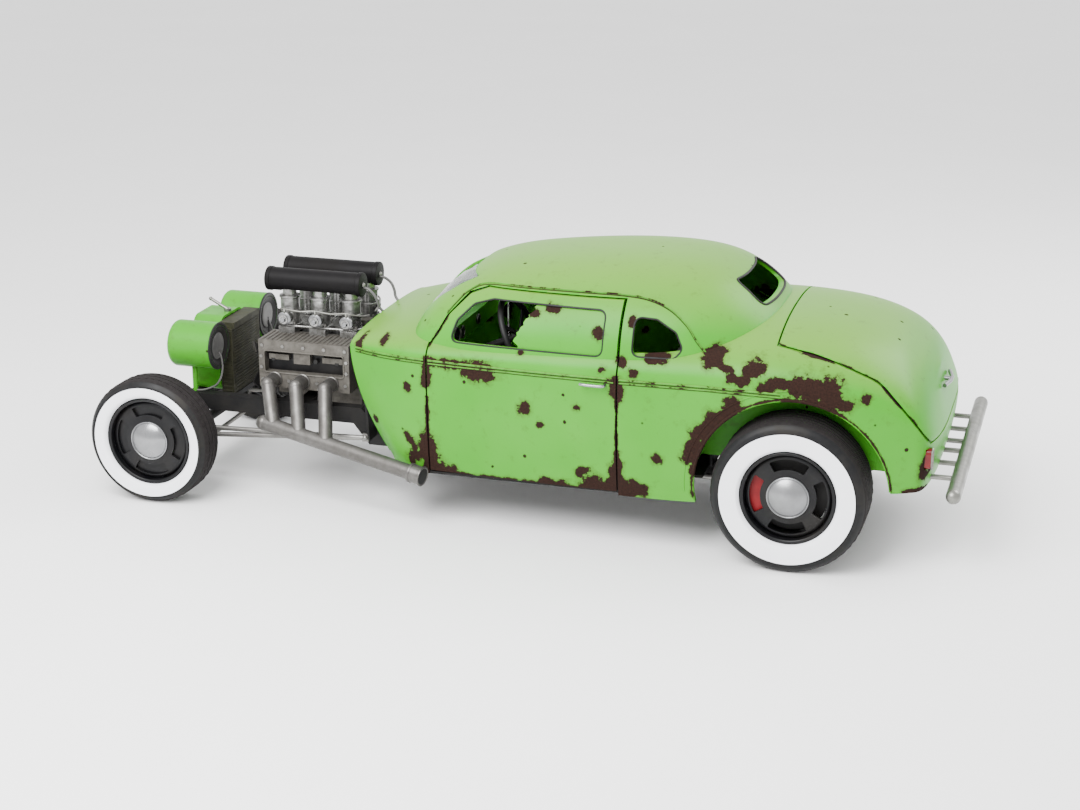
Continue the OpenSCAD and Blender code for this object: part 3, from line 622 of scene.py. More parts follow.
doorWindow = roundOutline([(1504, 905), (2235, 905), (2235, 1098), (1690, 1096), (1600, 1070), (1530, 1000)], 40)
quarterWindow = roundOutline([(2369, 919), (2560, 919), (2597, 960), (2560, 1030), (2470, 1078), (2369, 1084)], 38)
rearWindow = roundOutline([(-270, 1090), (270, 1090), (235, 1195), (-235, 1195)], 45)
frontWindow = roundOutline([(14, 985), (385, 985), (380, 1085), (330, 1150), (14, 1160)], 25)
glassSpan = {"rear": (2700, 3100), "front": (1200, 1700)}
paneSet = {"outer": 8.0, "inner": 13.0,
    "edge": [(2300, 800), (2300, 1200), (1915, 1200), (1908, 1100), (1893, 1082), (1899, 1072), (1884, 1060),
        (1872, 1052), (1876, 1041), (1862, 1034), (1852, 1018), (1856, 1008), (1843, 1000), (1836, 982),
        (1826, 975), (1829, 962), (1818, 950), (1812, 938), (1822, 930), (1838, 918), (1834, 900), (1834, 800)]}

wall, seam, far = shellSet["wall"], shellSet["seam"], shellSet["far"]
arch = circleOutline(archSet["centre"], archSet["radius"], 160)
# lofts set in by a distance in mm
tools = {label: maker(label, inset) for label, maker, inset in (
    ("bodyOuter", bodySolid, 0.0), ("bodyInner", bodySolid, wall), ("bodyGrown", bodySolid, -shellSet["overlap"]),
    ("domeOuter", domeSolid, 0.0), ("domeInner", domeSolid, wall),
    ("paneOuter", domeSolid, paneSet["outer"]), ("paneInner", domeSolid, paneSet["inner"]))}
# outlines pushed from one place to another along an axis
for label, outline, low, high, axis in (
        ("doorGap", doorOutline(seam), -far, far, "side"), ("doorLeft", doorOutline(0.0), -far, 0.0, "side"),
        ("doorWindow", doorWindow, -far, far, "side"), ("quarterWindow", quarterWindow, -far, far, "side"),
        ("rearWindow", rearWindow, *glassSpan["rear"], "station"),
        ("screenRight", frontWindow, *glassSpan["front"], "station"),
        ("screenLeft", frontWindow * np.array([-1, 1]), *glassSpan["front"], "station"),
        ("lidGap", lidOutline(seam), -far, far, "side"), ("lidCut", lidOutline(0.0), -far, far, "side"),
        ("archLeft", arch, -far, -archSet["inner"], "side"), ("archRight", arch, archSet["inner"], far, "side"),
        ("paneEdge", paneSet["edge"], -far, 0.0, "side")):
    tools[label] = prism(label, outline, low, high, axis)
tools["front"] = boxSolid("frontPart", (shellSet["nose"], -far, -far), (doorSet["front"] - seam / 2, far, far))
tools["rear"] = boxSolid("rearPart", (doorSet["rear"] + seam / 2, -far, -far), (shellSet["tail"], far, far))
rearSteps = "+rear -bodyInner -domeInner -lidGap -archLeft -archRight"
for k, side in enumerate((-lampSet["side"], lampSet["side"])):
    tools[f"lampSeat{k}"] = boxSolid("lampSeat", (lampSet["front"], side - lampSet["seat"], lampSet["low"]),
        (lampSet["rear"], side + lampSet["seat"], lampSet["high"]))
    rearSteps += f" -lampSeat{k}"
for k, side in enumerate(strutSet["sides"]):
    hole = circleOutline((side, strutSet["height"]), strutSet["hole"], 32)
    tools[f"strutHole{k}"] = prism("strutHole", hole, strutSet["start"], strutSet["end"], "station")
    rearSteps += f" -strutHole{k}"


def carvePanel(name, base, steps, mat=None):
    # each step names a tool: + keeps what is inside it, - cuts it away and | adds it
    jobs = {"+": "INTERSECT", "-": "DIFFERENCE", "|": "UNION"}
    return carve(name, tools[base], [(jobs[step[0]], tools[step[1:]]) for step in steps.split()], mat)


tools["bothOuter"] = carvePanel("bothOuter", "bodyOuter", "|domeOuter")
panels = {
    "cowl": carvePanel("cowlPanel", "bodyOuter", "+front -bodyInner -domeInner -doorGap", paintMat),
    "roof": carvePanel("roofPanel", "domeOuter", "-bodyGrown -bodyInner -domeInner -doorGap -quarterWindow -rearWindow"
        " -screenLeft -screenRight", paintMat),
    "rear_body": carvePanel("rearPanel", "bodyOuter", rearSteps, paintMat),
    "boot_lid": carvePanel("lidPanel", "bodyOuter", "+lidCut -bodyInner", paintMat),
    "door_left": carvePanel("doorPanelLeft", "bothOuter", "+doorLeft -bodyInner -domeInner -doorWindow", paintMat)}
panels["door_right"] = mirrorCopy(panels["door_left"], "doorPanelRight")
panels["pane_left"] = carvePanel("paneLeft", "paneOuter", "+doorWindow -paneInner +paneEdge", paintMat)
panels["pane_right"] = mirrorCopy(panels["pane_left"], "paneRight")
panelBody = {"boot_lid": "boot_lid", "door_left": "door_left", "door_right": "door_right",
    "pane_left": "door_left", "pane_right": "door_right"}
for name, panel in panels.items():
    print("  panel", name, len(panel.data.polygons))
    smoothSharp(panel)
    addWearAndSkyTint(panel)
    dress(panel, panelBody.get(name, "chassis"), name)
for tool in tools.values():
    bpy.data.objects.remove(tool)

print("stage: geometry node tools")


def newTree(name, inputs, parts):
    # a tree with its inputs by label and kind, and its nodes by label
    tree = bpy.data.node_groups.new(name, "GeometryNodeTree")
    tree.interface.new_socket(name="Geometry", in_out="INPUT", socket_type="NodeSocketGeometry")
    for label, kind in (*inputs, ("Finish", "Material")):
        tree.interface.new_socket(name=label, in_out="INPUT", socket_type="NodeSocket" + kind)
    tree.interface.new_socket(name="Geometry", in_out="OUTPUT", socket_type="NodeSocketGeometry")
    ends = {"given": "NodeGroupInput", "result": "NodeGroupOutput", "real": "GeometryNodeRealizeInstances",
        "smooth": "GeometryNodeSetShadeSmooth", "finish": "GeometryNodeSetMaterial"}
    return tree, {label: tree.nodes.new(kind) for label, kind in {**parts, **ends}.items()}


def wireTree(tree, parts, wires):
    # each wire: node, output, node, input; every tree ends in real geometry with its finish set
    last = (("real", "Geometry", "smooth", "Geometry"), ("smooth", "Geometry", "finish", "Geometry"),
        ("given", "Finish", "finish", "Material"), ("finish", "Geometry", "result", "Geometry"))
    for source, output, target, entry in (*wires, *last):
        tree.links.new(parts[source].outputs[output], parts[target].inputs[entry])
    return tree


def beadTree():
    tree, parts = newTree("roundBead", (("Radius", "Float"), ("Sides", "Int")), {
        "curve": "GeometryNodeMeshToCurve", "ring": "GeometryNodeCurvePrimitiveCircle",
        "sweep": "GeometryNodeCurveToMesh"})
    parts["sweep"].inputs["Fill Caps"].default_value = True
    return wireTree(tree, parts, (
        ("given", "Geometry", "curve", "Mesh"), ("given", "Radius", "ring", "Radius"),
        ("given", "Sides", "ring", "Resolution"), ("curve", "Curve", "sweep", "Curve"),
        ("ring", "Curve", "sweep", "Profile Curve"), ("sweep", "Mesh", "real", "Geometry")))


def boltTree():
    tree, parts = newTree("boltHeads", (("Head Radius", "Float"), ("Head Height", "Float"), ("Sides", "Int")), {
        "head": "GeometryNodeMeshCylinder", "aim": "GeometryNodeInputNamedAttribute",
        "turn": "FunctionNodeAlignRotationToVector", "put": "GeometryNodeInstanceOnPoints"})
    parts["aim"].data_type = "FLOAT_VECTOR"
    parts["aim"].inputs["Name"].default_value = "aim"
    parts["turn"].axis = "Z"
    return wireTree(tree, parts, (
        ("given", "Head Radius", "head", "Radius"), ("given", "Head Height", "head", "Depth"),
        ("given", "Sides", "head", "Vertices"), ("aim", "Attribute", "turn", "Vector"),
        ("given", "Geometry", "put", "Points"), ("head", "Mesh", "put", "Instance"),
        ("turn", "Rotation", "put", "Rotation"), ("put", "Instances", "real", "Geometry")))


beadNodes = beadTree()
boltNodes = boltTree()


def growByNodes(obj, tree, values):
    # sets the named inputs by identifier
    mod = obj.modifiers.new(tree.name, "NODES")
    mod.node_group = tree
    for item in tree.interface.items_tree:
        if item.item_type == "SOCKET" and item.in_out == "INPUT" and item.name in values:
            mod[item.identifier] = values[item.name]
    return bakeShape(obj)


sharpSet = {"bead": 40.0, "bolt": 30.0}


def beadPiece(name, paths, radius, mat, body, sides=8, closes=False):
    # a round bar along each path of points in mm
    points, edges = [], []
    for path in paths:
        base, count = len(points), len(path)
        points += [tuple(p) for p in place(path)]
        edges += [(base + k, base + k + 1) for k in range(count - 1)]
        if closes:
            edges.append((base + count - 1, base))
    mesh = bpy.data.meshes.new(name)
    mesh.from_pydata(points, edges, [])
    obj = addObject(name, mesh)
    growByNodes(obj, beadNodes, {"Radius": radius / 1000.0, "Sides": sides, "Finish": mat})
    obj.data.set_sharp_from_angle(angle=math.radians(sharpSet["bead"]))
    return dress(obj, body)


def bothHands(spots):
    # points given for the left side, repeated on the right
    spots = np.asarray(spots, float)
    return np.vstack([spots, spots * sideFlip])


def boltPiece(name, spots, aim, radius, height, mat, slot, sides=6):
    # heads on the left spots, all aimed alike, and on the right as a mirror image
    mesh = bpy.data.meshes.new(name)
    mesh.from_pydata([tuple(p) for p in place(bothHands(spots))], [], [])
    layer = mesh.attributes.new("aim", "FLOAT_VECTOR", "POINT")
    aims = bothHands(np.tile(aim, (len(spots), 1)))
    layer.data.foreach_set("vector", aims.astype(np.float32).ravel())
    obj = addObject(name, mesh)
    growByNodes(obj, boltNodes, {"Head Radius": radius / 1000.0, "Head Height": height / 1000.0, "Sides": sides,
        "Finish": mat})
    obj.data.set_sharp_from_angle(angle=math.radians(sharpSet["bolt"]))
    return dress(obj, "chassis")


def lathe(name, profile, centre, axis, mats, finishOf=None, segments=96, closes=True, notch=None):
    # turns a profile of radius and distance along the axis; closed profiles make rings
    a = np.array({"side": (0, 1, 0), "length": (1, 0, 0), "up": (0, 0, 1)}.get(axis, axis), float)
    a = a / np.linalg.norm(a)
    e = np.array((0, 0, 1) if abs(a[2]) < 0.9 else (1, 0, 0), float)
    e = e - a * (a @ e)
    e = e / np.linalg.norm(e)
    f = np.cross(a, e)
    turn = np.linspace(0, 2 * math.pi, segments, endpoint=False)
    n = len(profile)
    points = []
    for k, angle in enumerate(turn):
        for j, (r, h) in enumerate(profile):
            rr = r - notch(j, k) if notch else r
            points.append(np.array(centre, float) + a * h + rr * (math.cos(angle) * e + math.sin(angle) * f))
    faces, index = [], []
    for k in range(segments):
        for j in range(n if closes else n - 1):
            q = (j + 1) % n
            faces.append((k * n + j, k * n + q, ((k + 1) % segments) * n + q, ((k + 1) % segments) * n + j))
            index.append(finishOf(j) if finishOf else 0)
    obj = makeObject(name, place(points), faces)
    for mat in mats:
        obj.data.materials.append(mat)
    obj.data.polygons.foreach_set("material_index", index[:len(obj.data.polygons)])
    editMesh(obj.data, weldTurned)
    smoothSharp(obj)
    return obj


def joinPieces(name, pieces):
    # one mesh from several, each keeping its materials
    mats, bm = [], bmesh.new()
    for piece in pieces:
        for mat in piece.data.materials:
            if mat not in mats:
                mats.append(mat)
        before = len(bm.faces)
        bm.from_mesh(piece.data)
        bm.faces.ensure_lookup_table()
        for face in bm.faces[before:]:
            face.material_index = mats.index(piece.data.materials[face.material_index])
        bpy.data.objects.remove(piece)
    mesh = bpy.data.meshes.new(name)
    bm.to_mesh(mesh)
    bm.free()
    for mat in mats:
        mesh.materials.append(mat)
    return addObject(name, mesh)


def along(rows, sign):
    return [(r, sign * h) for r, h in rows]


def turnedSet(name, bits, node=None):
    # one chassis piece from turned bits: profile, centre, axis, finishes, segments and which finish each face has
    turned = [lathe("turned", profile, centre, axis, mats, finish[0] if finish else None, segments)
        for profile, centre, axis, mats, segments, *finish in bits]
    piece = joinPieces(name, turned)
    smoothSharp(piece)
    return dress(piece, "chassis", node)


print("stage: tyres and wheels")
# profiles of the wheel: radius, and distance from the tyre's outer face or from the middle of the wheel
wheelSet = {"face": 737.0, "capRadius": 96.0, "capHeight": 35.0, "treadDepth": 5.0, "segments": 150, "trim": 0.1,
    "bandStart": 216, "notch": 4.0, "slot": (126, 174), "slotHalf": 31, "discSide": 625, "capSink": 0.3,
    "lip": [(204.8, -30), (212.5, -29.4), (214, -27), (213, -23.5), (210, -22), (204, -23), (198.5, -27), (196.4, -34)],
    "dish": [(197, -62), (189, -51), (180, -46), (150, -44.5), (120, -45), (108, -41), (60, -41),
        (60, -54), (110, -54), (122, -57), (178, -58), (188, -63), (197, -74)],
    "capEdge": [(88.5, -31), (91, -29.5), (95, -31.5), (96, -35), (95, -43), (62, -43), (0, -43)],
    "disc": [(62, 0), (170, 0), (172, 2), (172, 10), (170, 12), (62, 12)],
    "drum": [(62, 17), (178, 17), (184, 20), (186, 26), (184, 31), (62, 32)],
    "front": {"station": 0.0, "radius": 309.0, "width": 185.0, "band": 273.0, "grooves": 3, "hubIn": 15.0},
    "rear": {"station": 3100.0, "radius": 350.0, "width": 270.0, "band": 301.0, "grooves": 5, "hubIn": 10.0}}
treadMat = wornMetal("treadRubber", (0.0105, 0.0088, 0.0091), (0.0168, 0.0144, 0.0144), 0.0, 0.8, 0.95, 60.0, 0.5,
    (0.007, 0.0056, 0.0056), shine=0.15)
sidewallMat = wornMetal("sidewallBlack", (0.00248, 0.00248, 0.0031), (0.00558, 0.00558, 0.0062), 0.0, 0.4, 0.6, 40.0,
    0.1, shine=0.2)
bandMat = wornMetal("whiteBand", (0.86, 0.87, 0.91), (0.91, 0.92, 0.95), 0.0, 0.45, 0.6, 12.0, 0.05, (0.74, 0.74, 0.74),
    0.2)


def tyreProfile(spec):
    half, r = spec["width"] / 2, spec["radius"] - wheelSet["trim"]
    side = smoothPath([(206, half - 31), (215, half - 29), (224, half - 15), (238, half - 7),
        (0.5 * r + 128, half - 0.4), (spec["band"], half - 1.6), (r - 26, half - 7), (r - 8, half - 22),
        (r - 1, half - 40)], 5)
    tread, span, low = [], half - 44, r - wheelSet["treadDepth"]
    for g in np.linspace(span * 0.72, -span * 0.72, spec["grooves"]):
        tread += [(r, g + 4), (low, g + 3), (low, g - 3), (r, g - 4)]
    inner = along(side[::-1], -1)
    return [tuple(p) for p in side] + [(r, span)] + tread + [(r, -span)] + inner, len(side)


for end in ("front", "rear"):
    spec = wheelSet[end]
    half = spec["width"] / 2
    profile, sides = tyreProfile(spec)
    lip, dishRows, capEdge = ([(r, half + h) for r, h in wheelSet[key]] for key in ("lip", "dish", "capEdge"))
    rimRows = lip + [(196.2, 0)] + along(lip[::-1], -1) + [(204.8, 0)]
    hubIn, hubOut = spec["hubIn"], half - 48
    hubRows = [(21, hubIn), (58, hubIn), (62, hubIn + 4), (62, hubOut), (21, hubOut)]
    brakeRows, brakeMat = wheelSet["drum"], rimMat
    if end == "rear":
        low = wheelSet["discSide"] - wheelSet["face"] + half
        brakeRows, brakeMat = [(r, low + h) for r, h in wheelSet["disc"]], blackMat
    ball = (wheelSet["capRadius"] ** 2 + wheelSet["capHeight"] ** 2) / (2 * wheelSet["capHeight"])
    capTop = half - wheelSet["capSink"]
    capRows = [(r, capTop - (ball - math.sqrt(ball * ball - r * r))) for r in np.linspace(0, 86, 12)] + capEdge

    def tyreFinish(j):
        (r0, h0), (r1, h1) = profile[j], profile[(j + 1) % len(profile)]
        mid, high = (r0 + r1) / 2, (h0 + h1) / 2
        if high > 0 and j < sides and wheelSet["bandStart"] < mid < spec["band"]:
            return 1
        return 2 if mid > spec["radius"] - 9 and abs(high) < half - 18 else 0

    def shoulderNotch(j, k):
        r, h = profile[j]
        return wheelSet["notch"] if k % 3 == 0 and r > spec["radius"] - 2.5 and abs(h) > half - 62 else 0.0

    for hand, sign in (("left", -1), ("right", 1)):
        centre = (spec["station"], sign * (wheelSet["face"] - half), spec["radius"])
        body = end + "_wheel_" + hand
        tyre = lathe(end + "Tyre" + hand.capitalize(), along(profile, sign), centre, "side",
            [sidewallMat, bandMat, treadMat], tyreFinish, wheelSet["segments"], True, shoulderNotch)
        dress(tyre, body, end + "_tyre_" + hand)

        dish = lathe("dish", along(dishRows, sign), centre, "side", [rimMat])
        slots = []
        for quarter in range(4):
            turn = 90 * quarter - wheelSet["slotHalf"], 90 * quarter + wheelSet["slotHalf"]
            inside, outside = (arcPoints((centre[0], centre[2]), r, *turn, 14) for r in wheelSet["slot"])
            opening = roundOutline(np.vstack([outside, inside[::-1]]), 10, 4)
            slots.append(prism("slot", opening, min(0, sign * 900), max(0, sign * 900), "side"))
        cutDish = carve("cutDish", dish, [("DIFFERENCE", slot) for slot in slots], rimMat)
        smoothSharp(cutDish)
        for spare in [dish, *slots]:
            bpy.data.objects.remove(spare)
        wheel = joinPieces(end + "Wheel" + hand.capitalize(), [
            lathe("rim", along(rimRows, sign), centre, "side", [rimMat]), cutDish,
            lathe("hub", along(hubRows, sign), centre, "side", [rimMat], segments=48),
            lathe("brake", along(brakeRows, sign), centre, "side", [brakeMat])])
        smoothSharp(wheel)
        dress(wheel, body, body)
        cap = lathe(end + "Cap" + hand.capitalize(), along(capRows, sign), centre, "side", [capMat], segments=72,
            closes=False)
        dress(cap, body)

print("stage: beads, rails and handles")
# the dirt, dirtDrops, railDirt and railDrop entries size and place the painted shadow lines under the beads
beadSet = {"belt": 5.0, "beltLow": 3.2, "lowDrop": 15.0, "dirt": 2.6, "dirtDrops": (6.5, 19.0), "rail": 4.5,
    "railDirt": 3.0, "railDrop": 5.5, "archLip": 8.0, "archCrease": 4.0, "cowlEdge": 7.0, "window": 4.5, "wear": 0.3,
    "cowlSpan": (1015.0, 1391.0), "doorSpan": (1410.0, 2303.0), "rearSpan": (2324.0, 3046.0)}


def lastWhere(low, high, holds):
    # bisection for the place where the test stops holding
    for step in range(40):
        middle = (low + high) / 2
        low, high = (middle, high) if holds(middle) else (low, middle)
    return low


def bodyAt(s, z):
    # half width of the lower body at a station and height
    def row(u):
        r = rowAt(bodyPad, u)
        if z < r[4]:
            k = (r[4] - z) / (r[4] - r[1])
            return r[3] + (r[0] - r[3]) * k ** 1.6, r[5] - (r[5] - r[2]) * k ** 2.4
        a = min(1.0, (z - r[4]) / (r[7] - r[4]))
        return r[3] + (r[6] - r[3]) * a, r[5] * (1 - a ** shellSet["bodyPower"]) ** (1 / shellSet["bodyPower"])
    return row(lastWhere(0.0, bodyLast - 0.02, lambda u: row(u)[0] < s))[1]


def domeAt(s, z):
    # half width of the roof at a station and height
    r = rowAt(domePad, lastWhere(0.0, float(domeLast), lambda u: rowAt(domePad, u)[0] < s))
    a = min(1.0, max(0.0, (z - shellSet["domeFoot"]) / (r[1] - shellSet["domeFoot"])))
    return r[2] * (1 - a ** shellSet["domePower"]) ** (1 / shellSet["domePower"])


def onBody(pairs, proud=0.0):
    return np.array([(s, -(bodyAt(s, z) + proud), z) for s, z in pairs])


def onDome(pairs, proud=0.0):
    return np.array([(s, -(domeAt(s, z) + proud), z) for s, z in pairs])


def mirrored(paths):
    return [*paths, *(np.asarray(p) * sideFlip for p in paths)]


def rightCopy(piece, name):
    return dress(mirrorCopy(piece, name), "door_right")


def paintBead(name, paths, radius, sides=8, level=None, body="chassis"):
    piece = beadPiece(name, paths, radius, paintMat, body, sides)
    addWearAndSkyTint(piece, level)
    return piece


def beltRun(span, drop):
    stations = np.arange(span[0], span[1] + 1, 12.0)
    heights = np.interp(stations, bodyRows[:, 3], bodyRows[:, 4]) - drop
    return onBody(list(zip(stations, heights)), 0.5)


beltLines = (("High", 0.0, beadSet["belt"]), ("Low", beadSet["lowDrop"], beadSet["beltLow"]))
for part in ("cowl", "door", "rear"):
    for label, drop, size in beltLines:
        name, paths = part + "Belt" + label, [beltRun(beadSet[part + "Span"], drop)]
        if part == "door":
            doorBelt = paintBead(name, paths, size, 8, beadSet["wear"], "door_left")
            rightCopy(doorBelt, name + "Right")
        else:
            paintBead(name, mirrored(paths), size, level=beadSet["wear"])


def shadowLine(name, paths, radius, body="chassis"):
    # painted shadow: a dark line laid just under a bead
    return beadPiece(name, paths, radius, beadShadowMat, body, 6)


# painted shadow lines just under the belt beads
beltDirt = [beltRun(beadSet[span], drop) for span in ("cowlSpan", "rearSpan") for drop in beadSet["dirtDrops"]]
shadowLine("beltDirt", mirrored(beltDirt), beadSet["dirt"])
doorShadow = [beltRun(beadSet["doorSpan"], drop) for drop in beadSet["dirtDrops"]]
rightCopy(shadowLine("doorBeltDirt", doorShadow, beadSet["dirt"], "door_left"), "doorBeltDirtRight")
railPath = smoothPath([(1470, 1022), (1500, 1062), (1550, 1112), (1640, 1144), (1850, 1152), (2100, 1158), (2300, 1160),
    (2420, 1150), (2520, 1118), (2600, 1062), (2650, 1000), (2695, 950), (2735, 922), (2790, 905)], 8)
paintBead("dripRail", mirrored([onDome(railPath, 1.0)]), beadSet["rail"], level=beadSet["wear"])
# painted shadow line just under the drip rail
shadowLine("railDirt", mirrored([onDome(railPath - np.array([0, beadSet["railDrop"]]), 0.4)]), beadSet["railDirt"])
lipPairs = arcPoints(archSet["centre"], archSet["lip"], 5.5, 189, 90)
paintBead("archLip", mirrored([onBody(lipPairs, -2.0)]), beadSet["archLip"], 10)
creasePairs = arcPoints(archSet["centre"], archSet["crease"], 88, 184, 50)
paintBead("archCrease", mirrored([onBody(creasePairs, -1.0)]), beadSet["archCrease"])
edgeHalf = [bodyPoint(0.012, t, 8.0) for t in np.linspace(0.0, 2.0, 60)]
paintBead("cowlEdge", [fullRing(edgeHalf)], beadSet["cowlEdge"], 10)
quarterPath, doorPath = (onDome(denseOutline(window), -3.0) for window in (quarterWindow, doorWindow))
beadPiece("quarterBead", mirrored([quarterPath]), beadSet["window"], rubberMat, "chassis", closes=True)
doorBead = beadPiece("doorBeadLeft", [doorPath], beadSet["window"], rubberMat, "door_left", closes=True)
rightCopy(doorBead, "doorBeadRight")

# bar of the handle: station and reach from the door
handleSet = {"height": 788.0, "radius": 7.0,
    "bar": [(2260.0, -2), (2260.0, 14), (2252.0, 26.0), (2208.0, 29.0), (2168.0, 26.0), (2148.0, 20.0)]}
handleZ = handleSet["height"]
barPath = smoothPath([(s, -(bodyAt(s, handleZ) + reach), handleZ) for s, reach in handleSet["bar"]], 6)
doorHandle = beadPiece("doorHandleLeft", [barPath], handleSet["radius"], capMat, "door_left", 12)
rightCopy(doorHandle, "doorHandleRight")

print("stage: engine details")
engineSet = {"headSide": 306.0, "bolt": (9.0, 11.0), "headers": (494.0, 640.0, 791.0), "headerHeight": 548,
    "flange": 39.0, "topBolts": (716.0, (432, 540, 648, 756, 864)), "lowBolts": (543.0, (432, 567, 715, 864)),
    "endBolts": ((426, 870), (605, 660)), "plugs": (478, 590, 700, 812), "plug": (11.0, 42.0),
    "recess": (440, 580, 856, 690), "liner": (257.8, 259.6), "lip": 4.5, "edge": 3.5, "fin": 5.0,
    "fins": (430, 880, 24), "finSides": (-140, -298), "finHeight": 742, "plugSide": -262, "plugHeight": 640,
    "flangeSide": 306.2, "redEdge": [(540, -303, 688.5), (700, -303, 688.5), (846, -303, 688.5), (854.5, -303, 680),
        (854.5, -303, 640)]}
hands = (-1, 1)


def chassisBead(name, paths, radius, mat, sides=8, closes=False):
    # left paths and their mirror image
    return beadPiece(name, mirrored(paths), radius, mat, "chassis", sides, closes)


def recessOutline(inset, radius):
    low, foot, high, top = engineSet["recess"]
    corners = [(low, foot), (high, foot), (high, top), (low, top)]
    ways = np.array([(1, 1), (-1, 1), (-1, -1), (1, -1)])
    return roundOutline(np.array(corners) + inset * ways, radius, 5)


headY = -engineSet["headSide"]
headSpots = [(s, headY, z) for z, stations in (engineSet["topBolts"], engineSet["lowBolts"]) for s in stations]
headSpots += [(s, headY, z) for s in engineSet["endBolts"][0] for z in engineSet["endBolts"][1]]
boltPiece("headBolts", headSpots, (0.0, -1.0, 0.0), *engineSet["bolt"], steelMat, "bare_steel")
recessPath = [(s, headY, z) for s, z in recessOutline(0, 14)]
chassisBead("recessLip", [recessPath], engineSet["lip"], castMat, closes=True)
chassisBead("recessEdge", [engineSet["redEdge"]], engineSet["edge"], edgeMat)
finPaths = [[(s, y, engineSet["finHeight"]) for y in engineSet["finSides"]] for s in range(*engineSet["fins"])]
chassisBead("headFins", finPaths, engineSet["fin"], castMat)
plugSpots = [(s, engineSet["plugSide"], engineSet["plugHeight"]) for s in engineSet["plugs"]]
boltPiece("sparkPlugs", plugSpots, (0.0, -1.0, 0.2), *engineSet["plug"], rubberMat, "hard_rubber", 12)
flange = engineSet["flange"]
flangeRows = [(34.2, 0), (flange - 2, 0), (flange, 2), (flange - 1, 7), (34.2, 10)]
flangeSpots = [(s, sign * engineSet["flangeSide"], engineSet["headerHeight"])
    for s in engineSet["headers"] for sign in hands]
turnedSet("headerFlanges", [(along(flangeRows, np.sign(spot[1])), spot, "side", [pipeMat], 40) for spot in flangeSpots])
liners = []
for sign in hands:
    low, high = sorted(sign * y for y in engineSet["liner"])
    liners.append(prism("liner", recessOutline(2, 12), low, high, "side"))
    liners[-1].data.materials.append(rimMat)
recessLiner = joinPieces("recessLiner", liners)
smoothSharp(recessLiner)
dress(recessLiner, "chassis")

pipeSet = {"end": (1384.0, -668.0, 258.0), "cuff": (1318.0, -653.4, 267.0), "way": (54.0, -12.0, -7.3),
    "endRows": [(37.0, -6), (43.8, -6), (48.0, -5), (49.0, -2), (48.0, 1.5), (44.0, 2.6), (40.0, 1.8), (38.5, 0.4),
        (37.0, 0.2)],
    "boreRows": [(0, 0.2), (38.6, 0.2), (38.6, 0.9), (0, 0.9)],
    "cuffRows": [(36.2, 0), (45.5, 0), (46.5, 2), (46.5, 12), (45.5, 14), (36.2, 14)]}
pipeBits = []
for sign in (1, -1):
    pipeEnd, cuff, way = (np.array(pipeSet[key]) * np.array([1, sign, 1]) for key in ("end", "cuff", "way"))
    pipeBits += [(pipeSet["endRows"], pipeEnd, tuple(way), [pipeMat], 56),
        (pipeSet["boreRows"], pipeEnd, tuple(way), [rubberMat], 56),
        (pipeSet["cuffRows"], cuff, tuple(way), [pipeMat], 56)]
turnedSet("collectorEnds", pipeBits)

carbSet = {"stations": (505.0, 667.0, 829.0), "side": 115.0, "fuelLine": 5.0, "bolt": (6.5, 16.0), "boltOut": (-36, 36),
    "boltHeight": 790, "heights": (("base", 777), ("ring", 850), ("top", 916)), "bowlLidSide": 190,
    "bowlNutSide": 208.2, "bowlHeight": 822, "drop": [(0, -190, 871), (3, -196, 858), (2, -188, 846)],
    "base": [(46.2, 0), (54, 0), (55, 2), (55, 8), (53, 10), (46.2, 10)],
    "ring": [(46.2, 0), (50, 1), (51, 4), (50, 7), (46.2, 8)],
    "top": [(34.5, 0), (50, 0), (52, 2), (52, 9), (49, 12), (34.5, 13)],
    "bowlLid": [(22.3, 0), (33, 0), (35, 2), (34, 6), (28, 9), (22.3, 10)],
    "bowlNut": [(0, 12), (11, 12), (14, 9), (15, 0), (0, 0)],
    "line": [(480, -178, 868), (505, -190, 872), (586, -196, 866), (667, -190, 872), (748, -196, 866),
        (829, -190, 872), (866, -172, 860), (884, -110, 842), (890, -40, 830)]}
carbBits = []
for s in carbSet["stations"]:
    for sign in hands:
        carbBits += [(carbSet[key], (s, sign * carbSet["side"], z), "up", [alloyMat], 40)
            for key, z in carbSet["heights"]]
        carbBits += [(along(carbSet[key], sign), (s, sign * carbSet[key + "Side"], carbSet["bowlHeight"]), "side",
            [capMat], count)
            for key, count in (("bowlLid", 36), ("bowlNut", 6))]
turnedSet("carbTrim", carbBits)
linePaths = [smoothPath(carbSet["line"], 6)]
linePaths += [smoothPath(np.array(carbSet["drop"]) + np.array([s, 0, 0]), 5) for s in carbSet["stations"]]
chassisBead("fuelLines", linePaths, carbSet["fuelLine"], chromeMat, 10)
stackSpots = [(s + dx, -carbSet["side"] + dy, carbSet["boltHeight"]) for s in carbSet["stations"]
    for dx in carbSet["boltOut"] for dy in carbSet["boltOut"]]
boltPiece("carbBolts", stackSpots, (0.0, 0.0, 1.0), *carbSet["bolt"], steelMat, "bare_steel")

filterSet = {"side": 115.0, "height": 1003, "ends": ((396.0, -1), (893.0, 1)), "hose": 7.0,
    "endRows": [(0, 0.4), (52, 0.4), (58.6, -0.6), (60, -4), (60, -22), (58.4, -24), (57.2, -24), (57.2, -1), (0, -1)],
    "nutRows": [(0, 9), (7, 9), (11, 5), (12, 0.5), (0, 0.5)],
    "hosePath": [(893, -112, 990), (922, -116, 982), (950, -119, 958), (966, -116, 925), (974, -110, 895),
        (992, -104, 872)]}
chassisBead("breatherHose", [smoothPath(filterSet["hosePath"], 7)], filterSet["hose"], hoseMat, 10)
filterBits = []
for sign in hands:
    for s, way in filterSet["ends"]:
        spot = (s, sign * filterSet["side"], filterSet["height"])
        filterBits.append((along(filterSet["endRows"], way), spot, "length", [filterMat], 64))
        filterBits.append((along(filterSet["nutRows"], way), spot, "length", [steelMat], 6))
turnedSet("filterTrim", filterBits)

